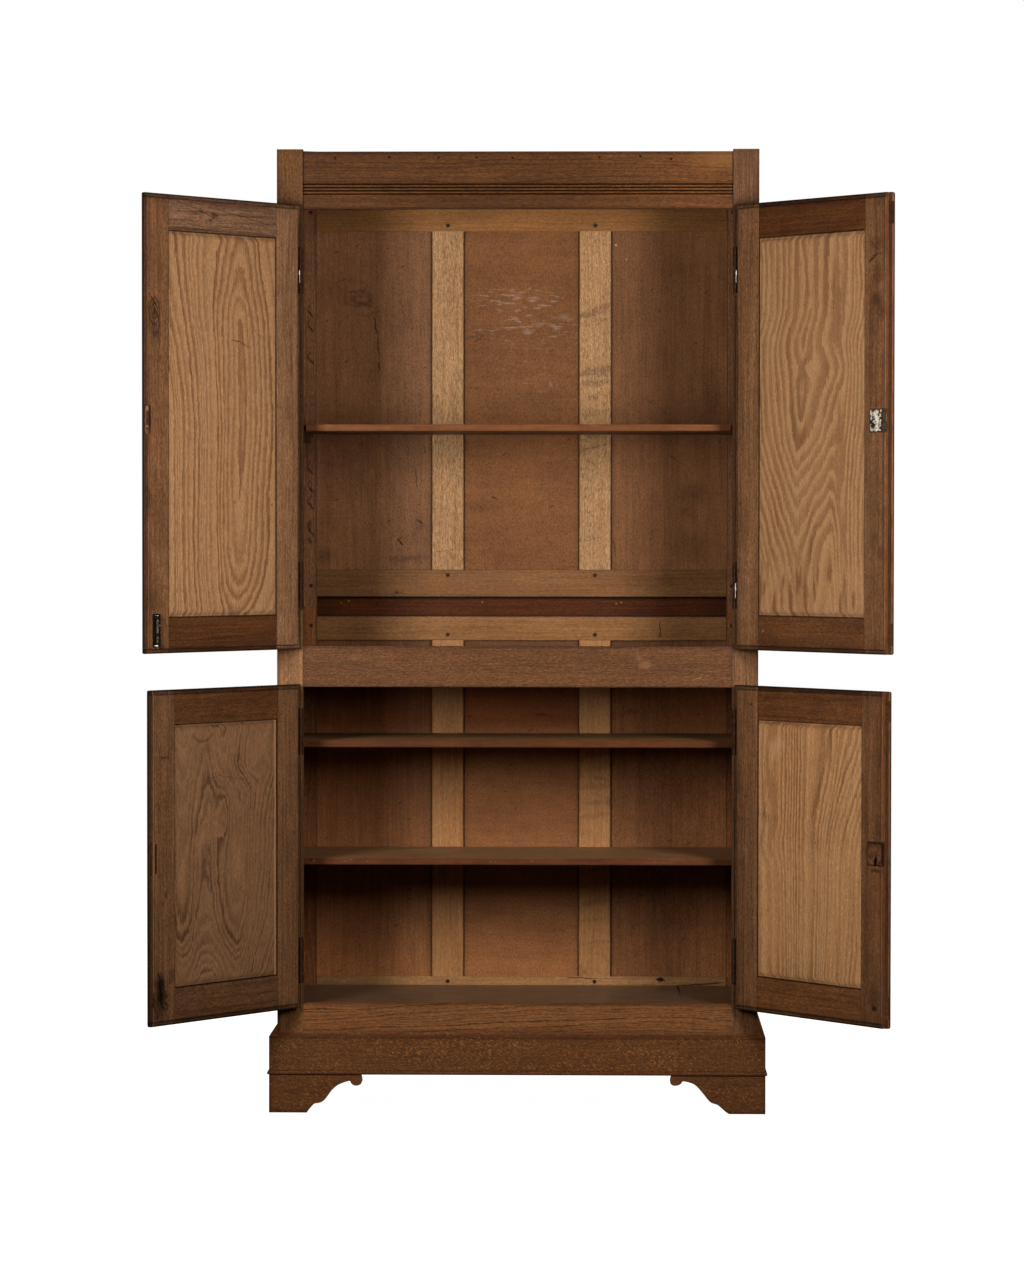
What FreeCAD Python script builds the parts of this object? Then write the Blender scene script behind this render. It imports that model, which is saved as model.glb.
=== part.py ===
import FreeCAD, Part
import math
import os

from FreeCAD import Vector as V

os.makedirs("parts", exist_ok=True)

# Oak linen press in two sections, standing on a plinth with bracket feet.
# Millimetres, +Z up.  The doors face -Y, +X is to the right of somebody who
# faces the press.  The floor is Z = 0 and the press is drawn with its doors
# open.  Inside this file Y is measured from the front face of the stiles;
# export() moves everything by FRONT_Y so that the standing outline, open
# doors included, is centred on the origin.

# ---------------------------------------------------------------- dimensions
FRONT_Y = -40.0        # where the front face of the stiles ends up

HALF_W = 520.0         # half width over the stiles
HALF_OPEN = 464.0      # half width of the door openings
STILE_T = 26.0         # thickness of stiles and front rails
POST_FRONT = 430.0     # front face of the rear posts
BACK_FRONT = 437.5     # front face of the back rails and muntins
CASE_BACK = 458.0      # back face of posts and back frames

Z_SPLIT = 1087.0       # joint between the two sections
Z_TOP = 2082.0         # top of upper stiles and posts
Z_FRIEZE_TOP = 2077.0
Z_FRIEZE = 1954.0      # underside of the frieze rail
Z_MID_TOP = 1010.0
Z_MID = 922.0
Z_BOT_TOP = 235.0
Z_BOT = 120.0
Z_BASE = 83.0          # underside of the carcass, top of the feet
Z_FLOOR = 229.0        # top of the floor board
FLOOR_T = 18.0

REED_Z = (1985.6, 1992.6, 1999.6, 2006.6)   # quirks between the three reeds
REED_D = 2.6

PLINTH_HALF = 537.0
PLINTH_PROJ = 16.0
PLINTH_TOP = 165.5
BEAD_TOP = 90.0
BEAD_PROJ = 4.0
COVE_W = 11.0
COVE_H = 8.0

# back frames
B_TOP_Z = (1935.0, 2067.0)       # upper section, top rail
B_MIDU_Z = (1110.0, 1171.0)      # upper section, bottom rail
B_MIDL_Z = (1011.0, 1065.0)      # lower section, top rail
B_BOT_Z = (190.0, 248.5)         # lower section, bottom rail
MUNTIN_C = 166.5
MUNTIN_W = 72.0
BP_Y = (445.0, 451.0)            # back panels and their grooves
GROOVE = 8.0
PANEL_GAP = 1.0

# side frames
SIDE_T = 22.0
SP_X = (506.0, 514.0)            # side panels and their grooves
SIDE_RAILS_U = ((1087.0, 1171.0), (1975.0, 2067.0))
SIDE_RAILS_L = ((120.0, 249.0), (1003.0, 1087.0))

# shelves: top z, thickness, front edge y
SHELF_T = 15.0
SHELF_U = (1491.0, 75.0)
SHELF_M = (801.0, 92.0)
SHELF_B = (543.0, 105.0)
DUST = (985.0, STILE_T)      # board behind the middle rail, closing the lower section
CLEAT_W = 22.0
CLEAT_H = 20.0

# doors, closed, measured from the hinge pin: x along the door, y inwards
PIN_X = 471.7
PIN_Y = -5.6
DOOR_T = 19.0
FIELD_Y = 6.7          # inner face
LIP_Y = 5.2            # back of the lip that laps over the carcass
LIP_W = 8.5
EDGE_X = 1.2           # hinge edge
ROUND = 5.0            # thumb round on the outer edges
CORNER = 3.5
TONGUE_END = 475.7     # left doors
TONGUE_W = 11.0
TONGUE_T = 8.4
INNER_END = 466.5      # right doors
LAP_END = 477.1
REBATE_T = 9.0
HINGE_STILE = 78.5
TENON_Y = (-7.6, -1.7)
TONGUE = 9.0           # panel groove depth
PANEL_BACK = 6.2       # flush inner face of the door panels
DOORS = {
    # name: side, opening angle, z0, z1, panel z0, panel z1, meeting stile x
    "upper_left": (-1, 128.9, 1004.0, 1961.0, 1078.0, 1886.5, 406.0),
    "upper_right": (1, 130.2, 1004.0, 1961.0, 1078.0, 1886.5, 405.0),
    "lower_left": (-1, 127.3, 227.5, 928.0, 303.5, 855.5, 401.5),
    "lower_right": (1, 129.5, 227.5, 928.0, 303.5, 855.5, 404.5),
}
HINGES = {"upper": (1092.0, 1771.0), "lower": (280.0, 776.0)}   # lower ends
HINGE_H = 100.0
KNUCKLE_R = 5.2
NOTCH_R = 5.6
PIN_R = 2.0
PIN_CLEAR = 0.06
LEAF_T = 1.6
LEAF_W = 9.5
LOCKS = {"upper": (1489.5, 1477.5), "lower": (588.5, 575.0)}    # centre, keyhole z
LOCK_X0 = 420.5
LOCK_H = 47.0
KEY_X = 447.0
BOLT_THROW = 9.0
BARREL_X = 442.7       # barrel bolt on the upper left door
BARREL_Z = (1017.0, 1087.0)
ROD_R = 3.0
ROD_Y = 11.1
ROD_Z = (1014.0, 1079.0)
ROD_THROW = 12.0


# ------------------------------------------------------------------- helpers
def box(x0, x1, y0, y1, z0, z1):
    x0, x1 = min(x0, x1), max(x0, x1)
    return Part.makeBox(x1 - x0, y1 - y0, z1 - z0, V(x0, y0, z0))


def cyl(r, h, p, d=V(0, 0, 1)):
    return Part.makeCylinder(r, h, p, d)


def mirror(s):
    return s.mirror(V(0, 0, 0), V(1, 0, 0))


def edges_at(shape, test):
    out = []
    for e in shape.Edges:
        b = e.BoundBox
        if test(b):
            out.append(e)
    return out


def near(a, b, tol=1e-3):
    return abs(a - b) < tol


def prism_x(pts, x0, x1):
    """Extrude a closed (y, z) polygon from x0 to x1."""
    w = Part.makePolygon([V(x0, y, z) for y, z in pts + [pts[0]]])
    return Part.Face(w).extrude(V(x1 - x0, 0, 0))


def prism_y(pts, y0, y1):
    w = Part.makePolygon([V(x, y0, z) for x, z in pts + [pts[0]]])
    return Part.Face(w).extrude(V(0, y1 - y0, 0))


def prism_z(pts, z0, z1):
    w = Part.makePolygon([V(x, y, z0) for x, y in pts + [pts[0]]])
    return Part.Face(w).extrude(V(0, 0, z1 - z0))


NODES = {}


def add(name, *shapes):
    NODES.setdefault(name, []).extend(shapes)


def soften(shape, test, r=1.2):
    """Small worn arris on the edges that pass the test."""
    es = edges_at(shape, test)
    if not es:
        return shape
    return shape.makeChamfer(r, es)


# ---------------------------------------------------------------- pegs, dowels
PEG_R = 4.2
pegs = []


def peg_y(x, z, y0=BACK_FRONT, y1=CASE_BACK):
    p = cyl(PEG_R, y1 - y0, V(x, y0, z), V(0, 1, 0))
    pegs.append(p)
    return p


# ---------------------------------------------------------------- upper stiles
def hinge_recess(z0):
    return [
        box(-474.2, -HALF_OPEN, 0, LEAF_T, z0, z0 + HINGE_H),
        box(-HALF_OPEN - LEAF_T, -HALF_OPEN, 0, 20.0, z0, z0 + HINGE_H),
    ]


DOWEL_R = 6.0
DOWEL_L = 44.0
dowel_xy = [(s * 492.0, 13.0) for s in (-1, 1)] + [(s * 492.0, 441.0) for s in (-1, 1)]
dowels = [cyl(DOWEL_R, DOWEL_L, V(x, y, Z_SPLIT - DOWEL_L / 2)) for x, y in dowel_xy]

FT = (9.0, 17.0)       # y range of the front tenons
FRONT_TENON = 38.0


def frame_screw_holes(z0):
    """Holes for the three screws through the leg of a carcass hinge leaf."""
    return [
        cyl(1.3, 16.0, V(-HALF_OPEN - LEAF_T, 11.5, z0 + h), V(-1, 0, 0))
        for h in (14.0, 50.0, 86.0)
    ]


def stile_left(z0, z1, mort, rails, hinges):
    s = box(-HALF_W, -HALF_OPEN, 0, STILE_T, z0, z1)
    cut = []
    for a, b in mort:
        cut.append(box(-HALF_OPEN - FRONT_TENON, -HALF_OPEN, FT[0], FT[1], a, b))
    for a, b in rails:
        cut.append(box(-SP_X[1], -SP_X[0], STILE_T - 16, STILE_T, a + 12, b - 12))
    cut.append(
        box(-SP_X[1], -SP_X[0], STILE_T - GROOVE, STILE_T, rails[0][1] - 12, rails[1][0] + 12)
    )
    for h in hinges:
        cut += hinge_recess(h) + frame_screw_holes(h)
    return s.cut(cut)


def cut_dowels(s, left, front):
    return s.cut(
        [d for d, (x, y) in zip(dowels, dowel_xy) if (x < 0) == left and (y < 100) == front]
    )


fr_t = (Z_FRIEZE + 14.0, Z_FRIEZE_TOP - 16.0)
mid_t = (Z_MID + 12.0, Z_MID_TOP - 12.0)
bot_t = (Z_BOT + 14.0, Z_BOT_TOP - 14.0)

us_raw = stile_left(Z_SPLIT, Z_TOP, [fr_t], SIDE_RAILS_U, HINGES["upper"])
add("upper_stile_left", cut_dowels(us_raw, True, True))
add("upper_stile_right", cut_dowels(mirror(us_raw), False, True))

ls_raw = stile_left(Z_BASE, Z_SPLIT, [mid_t, bot_t], SIDE_RAILS_L, HINGES["lower"])
add("lower_stile_left", cut_dowels(ls_raw, True, True))
add("lower_stile_right", cut_dowels(mirror(ls_raw), False, True))


# ---------------------------------------------------------------- front rails
def front_rail(z0, z1, tz):
    r = box(-HALF_OPEN, HALF_OPEN, 0, STILE_T, z0, z1)
    t = box(-HALF_OPEN - FRONT_TENON, HALF_OPEN + FRONT_TENON, FT[0], FT[1], tz[0], tz[1])
    return r.fuse(t).removeSplitter()


def reed_cutter():
    """Three half-round reeds worked in the frieze, cut as one long prism."""
    x0, x1 = -HALF_OPEN - 1.0, HALF_OPEN + 1.0
    z = REED_Z
    edges = []

    def line(a, b):
        edges.append(Part.makeLine(V(x0, a[0], a[1]), V(x0, b[0], b[1])))

    def arc(a, m, b):
        edges.append(Part.Arc(V(x0, *a), V(x0, *m), V(x0, *b)).toShape())

    lo, hi = z[0] - 1.9, z[3] + 1.9
    line((0.0, lo), (REED_D, z[0]))
    for a, b in zip(z[:-1], z[1:]):
        arc((REED_D, a), (0.05, (a + b) / 2), (REED_D, b))
    line((REED_D, z[3]), (0.0, hi))
    line((0.0, hi), (-2.0, hi))
    line((-2.0, hi), (-2.0, lo))
    line((-2.0, lo), (0.0, lo))
    return Part.Face(Part.Wire(Part.__sortEdges__(edges))).extrude(V(x1 - x0, 0, 0))


frieze = front_rail(Z_FRIEZE, Z_FRIEZE_TOP, fr_t).cut(reed_cutter())
add("frieze_rail", frieze)

# the top edge of the middle rail takes the barrel bolt of the upper left door
bolt_hole = cyl(3.4, 14.0, V(-PIN_X + BARREL_X, PIN_Y + ROD_Y, Z_MID_TOP - 13.0))
add("middle_rail", front_rail(Z_MID, Z_MID_TOP, mid_t).cut(bolt_hole))
add("bottom_rail", front_rail(Z_BOT, Z_BOT_TOP, bot_t))

# ---------------------------------------------------------------- rear posts
BACK_TENON = 30.0


def post_left(z0, z1, rails, side_rails, peg_list):
    s = box(-HALF_W, -HALF_OPEN, POST_FRONT, CASE_BACK, z0, z1)
    cut = []
    for a, b in rails:
        cut.append(box(-HALF_OPEN - BACK_TENON, -HALF_OPEN, BP_Y[0], BP_Y[1], a + 9, b - 9))
    lo = min(r[1] for r in rails)
    hi = max(r[0] for r in rails)
    cut.append(box(-HALF_OPEN - GROOVE, -HALF_OPEN, BP_Y[0], BP_Y[1], lo - 9, hi + 9))
    for a, b in side_rails:
        cut.append(box(-SP_X[1], -SP_X[0], POST_FRONT, POST_FRONT + 16, a + 12, b - 12))
    cut.append(
        box(
            -SP_X[1], -SP_X[0], POST_FRONT, POST_FRONT + GROOVE,
            side_rails[0][1] - 12, side_rails[1][0] + 12,
        )
    )
    cut += [cyl(PEG_R, CASE_BACK - POST_FRONT, V(x, POST_FRONT, z), V(0, 1, 0)) for x, z in peg_list]
    return s.cut(cut)


peg_u = [(-477.0, 1977.5), (-476.0, 1134.0)]
peg_l = [(-475.5, 1044.5), (-476.0, 219.0)]
for x, z in peg_u + peg_l:
    for sx in (x, -x):
        pegs.append(cyl(PEG_R, CASE_BACK - POST_FRONT, V(sx, POST_FRONT, z), V(0, 1, 0)))

up_raw = post_left(Z_SPLIT, Z_TOP, (B_MIDU_Z, B_TOP_Z), SIDE_RAILS_U, peg_u)
add("upper_rear_post_left", cut_dowels(up_raw, True, False))
add("upper_rear_post_right", cut_dowels(mirror(up_raw), False, False))
lp_raw = post_left(Z_BASE, Z_SPLIT, (B_BOT_Z, B_MIDL_Z), SIDE_RAILS_L, peg_l)
add("lower_rear_post_left", cut_dowels(lp_raw, True, False))
add("lower_rear_post_right", cut_dowels(mirror(lp_raw), False, False))


# ---------------------------------------------------------------- side frames
def side_frame(rails_z, tag):
    pieces = []
    for i, (a, b) in enumerate(rails_z):
        r = box(-HALF_W, -HALF_W + SIDE_T, STILE_T, POST_FRONT, a, b)
        t = box(-SP_X[1], -SP_X[0], STILE_T - 16, POST_FRONT + 16, a + 12, b - 12)
        r = r.fuse(t).removeSplitter()
        if i == 0:
            r = r.cut(box(-SP_X[1], -SP_X[0], STILE_T - 20, POST_FRONT + 20, b - GROOVE, b))
            # the tenon keeps clear of the groove above it
        else:
            r = r.cut(box(-SP_X[1], -SP_X[0], STILE_T - 20, POST_FRONT + 20, a, a + GROOVE))
        pieces.append(r)
    panel = box(
        -SP_X[1], -SP_X[0],
        STILE_T - GROOVE + PANEL_GAP, POST_FRONT + GROOVE - PANEL_GAP,
        rails_z[0][1] - GROOVE, rails_z[1][0] + GROOVE - PANEL_GAP,
    )
    add(tag + "_side_rails", *pieces)
    add(tag + "_side_rails", *[mirror(p) for p in pieces])
    add(tag + "_side_panels", panel, mirror(panel))


side_frame(SIDE_RAILS_U, "upper")
side_frame(SIDE_RAILS_L, "lower")


# ---------------------------------------------------------------- back frames
def back_frame(bot, top, tag, peg_bot, peg_top):
    mt = 20.0
    holes = []
    for z in (peg_bot, peg_top):
        for s in (-1, 1):
            holes.append(peg_y(s * MUNTIN_C, z))
    postholes = [
        cyl(PEG_R, CASE_BACK - POST_FRONT, V(s * x, POST_FRONT, z), V(0, 1, 0))
        for x, z in (peg_u if tag == "upper" else peg_l) for s in (-1, 1)
    ]
    rails = []
    for (a, b), groove in ((bot, "up"), (top, "down")):
        r = box(-HALF_OPEN, HALF_OPEN, BACK_FRONT, CASE_BACK, a, b)
        t = box(-HALF_OPEN - BACK_TENON, HALF_OPEN + BACK_TENON, BP_Y[0], BP_Y[1], a + 9, b - 9)
        r = r.fuse(t).removeSplitter()
        cut = []
        if groove == "up":
            cut.append(box(-HALF_OPEN - 40, HALF_OPEN + 40, BP_Y[0], BP_Y[1], b - GROOVE, b))
            g = (b - mt, b)
        else:
            cut.append(box(-HALF_OPEN - 40, HALF_OPEN + 40, BP_Y[0], BP_Y[1], a, a + GROOVE))
            g = (a, a + mt)
        for s in (-1, 1):
            c = s * MUNTIN_C
            cut.append(box(c - MUNTIN_W / 2 + 8, c + MUNTIN_W / 2 - 8, BP_Y[0], BP_Y[1], g[0], g[1]))
        rails.append(r.cut(cut + holes + postholes))
    muntins = []
    for s in (-1, 1):
        c = s * MUNTIN_C
        m = box(c - MUNTIN_W / 2, c + MUNTIN_W / 2, BACK_FRONT, CASE_BACK, bot[1], top[0])
        t = box(
            c - MUNTIN_W / 2 + 8, c + MUNTIN_W / 2 - 8, BP_Y[0], BP_Y[1],
            bot[1] - mt, top[0] + mt,
        )
        m = m.fuse(t).removeSplitter()
        m = m.cut(
            [
                box(c - MUNTIN_W / 2, c - MUNTIN_W / 2 + GROOVE, BP_Y[0], BP_Y[1], bot[1], top[0]),
                box(c + MUNTIN_W / 2 - GROOVE, c + MUNTIN_W / 2, BP_Y[0], BP_Y[1], bot[1], top[0]),
            ]
            + holes
        )
        m = soften(
            m,
            lambda b: near(b.YMin, BACK_FRONT) and near(b.YMax, BACK_FRONT) and b.ZLength > 200,
            1.5,
        )
        muntins.append(m)
    z0, z1 = bot[1] - GROOVE + PANEL_GAP, top[0] + GROOVE - PANEL_GAP
    inner = MUNTIN_C - MUNTIN_W / 2
    outer = MUNTIN_C + MUNTIN_W / 2
    reach = GROOVE - 2 * PANEL_GAP
    panels = [
        box(-HALF_OPEN - reach, -outer + reach, BP_Y[0], BP_Y[1], z0, z1),
        box(-inner - reach, inner + reach, BP_Y[0], BP_Y[1], z0, z1),
        box(outer - reach, HALF_OPEN + reach, BP_Y[0], BP_Y[1], z0, z1),
    ]
    add(tag + "_back_rails", *rails)
    add(tag + "_back_muntins", *muntins)
    add(tag + "_back_panels", *panels)


back_frame(B_MIDU_Z, B_TOP_Z, "upper", 1158.5, 1948.0)
back_frame(B_BOT_Z, B_MIDL_Z, "lower", 237.0, 1024.0)

# board nailed across the back, over the joint of the two sections
add("joint_board", box(-500.0, 500.0, CASE_BACK, CASE_BACK + 12.0, 1043.0, 1132.0))


# ---------------------------------------------------------------- top board
def top_board():
    """Thin board let down behind the frieze; its left end has lifted a little."""
    t = 10.0
    z = 2067.0

    def curve(dz, y):
        c = Part.BezierCurve()
        c.setPoles([
            V(-300.0, y, z + dz), V(-400.0, y, z + dz),
            V(-455.0, y, z + dz + 3.4), V(-HALF_W, y, z + dz + 4.6),
        ])
        return c.toShape(), V(-HALF_W, y, z + dz + 4.6)

    y0, y1 = STILE_T, POST_FRONT
    lo, a = curve(0.0, y0)
    hi, b = curve(t, y0)
    e = [
        lo,
        Part.makeLine(V(-300, y0, z), V(HALF_W, y0, z)),
        Part.makeLine(V(HALF_W, y0, z), V(HALF_W, y0, z + t)),
        Part.makeLine(V(HALF_W, y0, z + t), V(-300, y0, z + t)),
        hi,
        Part.makeLine(b, a),
    ]
    s = Part.Face(Part.Wire(Part.__sortEdges__(e))).extrude(V(0, y1 - y0, 0))
    back = Part.Face(Part.Wire(Part.__sortEdges__(e))).extrude(V(0, CASE_BACK - y0, 0))
    back = back.common(box(-HALF_OPEN, HALF_OPEN, y0, CASE_BACK, 2060, 2090))
    return s.fuse(back).removeSplitter()


add("top_board", top_board())


# ---------------------------------------------------------------- shelves
def shelf(z_top, y0, notch):
    half = HALF_W - SIDE_T - 1.0
    s = box(-half, half, y0, BACK_FRONT, z_top - SHELF_T, z_top)
    cut = [box(-600, -HALF_OPEN, POST_FRONT, 500, 0, 2200), box(HALF_OPEN, 600, POST_FRONT, 500, 0, 2200)]
    if notch:
        cut += [box(-600, -462.0, 0, y0 + 28, 0, 2200), box(462.0, 600, 0, y0 + 28, 0, 2200)]
    s = s.cut(cut)
    return soften(
        s,
        lambda b: near(b.YMin, y0) and near(b.YMax, y0) and b.XLength > 500,
        1.0,
    )


add("upper_shelf", shelf(*SHELF_U, True))
add("middle_shelf", shelf(*SHELF_M, False))
add("bottom_shelf", shelf(*SHELF_B, False))

# fixed board just under the top of the middle rail, hidden behind it
add("dust_board", shelf(*DUST, False))

for zt, y0 in (SHELF_U, SHELF_M, SHELF_B, DUST):
    z1 = zt - SHELF_T
    c = box(-HALF_W + SIDE_T, -HALF_W + SIDE_T + CLEAT_W, STILE_T, POST_FRONT, z1 - CLEAT_H, z1)
    add("shelf_cleats", c, mirror(c))

floor_board = box(-498.0, 498.0, STILE_T, BACK_FRONT, Z_FLOOR - FLOOR_T, Z_FLOOR).cut(
    [box(-600, -HALF_OPEN, POST_FRONT, 500, 0, 400), box(HALF_OPEN, 600, POST_FRONT, 500, 0, 400)]
)
# an old shake near the right-hand end of the floor board, open at the back
floor_board = floor_board.cut(
    prism_z([(352.5, BACK_FRONT + 1), (357.5, BACK_FRONT + 1), (357.3, 300.0), (361.5, 130.0), (355.6, 300.0)], 180.0, 260.0)
)
add("floor_board", floor_board)
fc = box(-498.0, -476.0, STILE_T, POST_FRONT, Z_FLOOR - FLOOR_T - CLEAT_H, Z_FLOOR - FLOOR_T)
add("shelf_cleats", fc, mirror(fc))

add("pegs_and_dowels", *pegs)
add("pegs_and_dowels", *dowels)


# ---------------------------------------------------------------- plinth
def mitre_cut(front, half, y_front):
    """Keep the part of a front strip that lies in front of the 45 degree mitres."""
    big = 900.0
    return prism_z(
        [
            (-half - 0.0, y_front),
            (half + 0.0, y_front),
            (half - big / 2, y_front + big / 2),
            (-half + big / 2, y_front + big / 2),
        ],
        -50.0,
        400.0,
    )


def strips(profile, half, y_front, y_back, inner):
    """Front and two side strips of one profile, mitred at the front corners.

    profile: segments of (d, z) points, d = depth behind the outer face.  The
    side strips are 1 mm deeper behind d = inner, to reach the carcass.
    """
    def face(pts3):
        w = Part.Wire(Part.__sortEdges__(pts3))
        return Part.Face(w)

    def edges(map_pt):
        out = []
        for seg in profile:
            p = [map_pt(d, z) for d, z in seg]
            if len(p) == 2:
                out.append(Part.makeLine(p[0], p[1]))
            else:
                out.append(Part.Arc(p[0], p[1], p[2]).toShape())
        return out

    front = face(edges(lambda d, z: V(-half, y_front + d, z))).extrude(V(2 * half, 0, 0))
    keep = mitre_cut(None, half, y_front)
    front = front.common(keep)
    side = face(
        edges(lambda d, z: V(-half + d + (1.0 if d > inner - 0.01 else 0.0), y_front, z))
    ).extrude(V(0, y_back - y_front, 0))
    side = side.cut(keep)
    return front, side, mirror(side)


def poly(pts):
    return [(pts[i], pts[(i + 1) % len(pts)]) for i in range(len(pts))]


PF = -PLINTH_PROJ
plinth = strips(
    poly([(0.0, BEAD_TOP), (PLINTH_PROJ, BEAD_TOP), (PLINTH_PROJ, PLINTH_TOP), (0.0, PLINTH_TOP)]),
    PLINTH_HALF, PF, CASE_BACK, PLINTH_PROJ,
)
add("plinth_front", plinth[0])
add("plinth_returns", *plinth[1:])
# plain board nailed across the back of the base
add("plinth_returns", box(-HALF_W, HALF_W, CASE_BACK, CASE_BACK + 12.0, BEAD_TOP, 205.0))

# hollow moulding standing on the plinth, against the carcass
c_in = PLINTH_PROJ
c_out = PLINTH_PROJ - COVE_W
cove = [
    ((c_out, PLINTH_TOP), (c_in, PLINTH_TOP)),
    ((c_in, PLINTH_TOP), (c_in, PLINTH_TOP + COVE_H)),
    ((c_in, PLINTH_TOP + COVE_H), (c_in - 1.5, PLINTH_TOP + COVE_H)),
    (
        (c_in - 1.5, PLINTH_TOP + COVE_H),
        (c_in - 4.6, PLINTH_TOP + 3.4),
        (c_out, PLINTH_TOP + 1.2),
    ),
    ((c_out, PLINTH_TOP + 1.2), (c_out, PLINTH_TOP)),
]
add("plinth_mouldings", *strips(cove, PLINTH_HALF, PF, CASE_BACK, c_in - 1.5))

# flat bead under the plinth with a rounded nose
bm = (BEAD_TOP + Z_BASE) / 2
bead = [
    ((1.6, BEAD_TOP), (26.0, BEAD_TOP)),
    ((26.0, BEAD_TOP), (26.0, Z_BASE)),
    ((26.0, Z_BASE), (1.6, Z_BASE)),
    ((1.6, Z_BASE), (0.0, bm), (1.6, BEAD_TOP)),
]
bead_half = PLINTH_HALF + BEAD_PROJ
bead_strips = strips(bead, bead_half, PF - BEAD_PROJ, CASE_BACK, 26.0)
corner_posts = [
    box(-HALF_W, -HALF_OPEN, 0, STILE_T, 0, 300), box(HALF_OPEN, HALF_W, 0, STILE_T, 0, 300),
    box(-HALF_W, -HALF_OPEN, POST_FRONT, CASE_BACK, 0, 300), box(HALF_OPEN, HALF_W, POST_FRONT, CASE_BACK, 0, 300),
]
add("plinth_mouldings", *[b.cut(corner_posts) for b in bead_strips])

# ---------------------------------------------------------------- feet
# cut outline of each front foot: (distance from the outer corner, height)
FOOT_LEFT = [
    (82.0, 0.0), (85.5, 5.5), (92.0, 13.0), (98.5, 19.3), (107.0, 20.9), (115.5, 24.1),
    (124.0, 32.0), (132.8, 44.5), (141.4, 53.9), (150.0, 60.4), (158.7, 64.2), (167.3, 67.3),
    (176.0, 69.0),
]
DROP_LEFT = [(176.0, 69.0), (179.3, 62.6), (184.5, 59.3), (190.5, 58.8), (197.0, 60.8), (201.4, 66.5), (201.6, 73.5), (198.6, 83.0)]
FOOT_RIGHT = [
    (78.0, 0.0), (85.0, 4.2), (91.2, 9.5), (97.7, 15.2), (104.1, 20.0), (112.8, 22.6),
    (121.4, 28.0), (130.0, 38.4), (138.6, 48.9), (147.3, 58.4), (155.9, 64.8), (164.5, 68.0),
    (173.1, 70.0), (179.2, 70.6),
]
DROP_RIGHT = [(179.2, 70.6), (182.6, 65.2), (188.2, 62.0), (195.5, 60.9), (202.0, 62.4), (205.8, 67.5), (205.9, 74.0), (202.8, 83.0)]
FOOT_T = 20.0


def foot_face(outline, drop, place):
    def spline(pts):
        c = Part.BSplineCurve()
        c.interpolate([place(*p) for p in pts])
        return c.toShape()

    e = [
        Part.makeLine(place(0, 0), place(*outline[0])),
        spline(outline),
        spline(drop),
        Part.makeLine(place(*drop[-1]), place(0, Z_BASE)),
        Part.makeLine(place(0, Z_BASE), place(0, 0)),
    ]
    return Part.Face(Part.Wire(e))


def front_foot(outline, drop):
    """Left-hand bracket foot: front bracket, side bracket and corner block."""
    x0 = -PLINTH_HALF
    keep = mitre_cut(None, PLINTH_HALF, PF)
    f = foot_face(outline, drop, lambda d, z: V(x0 + d, PF, z)).extrude(V(0, FOOT_T, 0))
    f = f.common(keep)
    s = foot_face(outline, drop, lambda d, z: V(x0, PF + d, z)).extrude(V(FOOT_T, 0, 0))
    s = s.cut(keep)
    block = box(x0 + FOOT_T, x0 + FOOT_T + 50.0, PF + FOOT_T, PF + FOOT_T + 50.0, 0.0, Z_BASE)
    return f, s, block


add("bracket_feet", *front_foot(FOOT_LEFT, DROP_LEFT))
add("bracket_feet", *[mirror(p) for p in front_foot(FOOT_RIGHT, DROP_RIGHT)])


def rear_foot():
    x0 = -PLINTH_HALF
    s = foot_face(FOOT_LEFT, DROP_LEFT, lambda d, z: V(x0, CASE_BACK - d, z)).extrude(V(FOOT_T, 0, 0))
    b = box(x0 + FOOT_T, x0 + FOOT_T + 120.0, CASE_BACK - 20.0, CASE_BACK, 0.0, Z_BASE)
    b = b.cut(prism_y([(x0 + 90, -1), (x0 + 141, -1), (x0 + 141, 55)], CASE_BACK - 25, CASE_BACK + 5))
    block = box(x0 + FOOT_T, x0 + FOOT_T + 50.0, CASE_BACK - 70.0, CASE_BACK - 20.0, 0.0, Z_BASE)
    return s, b, block


add("bracket_feet", *rear_foot())
add("bracket_feet", *[mirror(p) for p in rear_foot()])

# ---------------------------------------------------------------- doors
FRONT = FIELD_Y - DOOR_T


def place_door(shape, side, angle):
    """Closed door coordinates -> open door in the press."""
    s = shape if side < 0 else mirror(shape)
    s = s.copy()
    s.translate(V(side * PIN_X, PIN_Y, 0))
    s.rotate(V(side * PIN_X, PIN_Y, 0), V(0, 0, 1), side * angle)
    return s


def rounded_block(x0, x1, y0, y1, z0, z1, corners, r_front, open_edges):
    b = box(x0, x1, y0, y1, z0, z1)
    b = b.makeFillet(
        CORNER,
        edges_at(
            b,
            lambda q: q.YLength > (y1 - y0) - 0.1
            and ((near(q.XMin, x0) and "h" in corners) or (near(q.XMax, x1) and "m" in corners)),
        ),
    )
    if r_front:
        b = b.makeFillet(
            r_front,
            edges_at(
                b,
                lambda q: near(q.YMin, y0) and near(q.YMax, y0)
                and not ("m" not in open_edges and near(q.XMin, x1) and near(q.XMax, x1)),
            ),
        )
    return b


def csk_screw(p, d, length):
    """Countersunk slotted screw: head flush at p, pointing along d."""
    h = 1.5
    head = Part.makeCone(2.6, 1.25, h, p, d)
    shank = cyl(1.25, length - h, p + d * h, d)
    s = head.fuse(shank).removeSplitter()
    if abs(d.y) > 0.5:
        slot = box(p.x - 3, p.x + 3, p.y - 0.5, p.y + 0.5, p.z - 0.35, p.z + 0.35)
    else:
        slot = box(p.x - 0.5, p.x + 0.5, p.y - 0.35, p.y + 0.35, p.z - 3, p.z + 3)
    return s.cut(slot)


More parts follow.
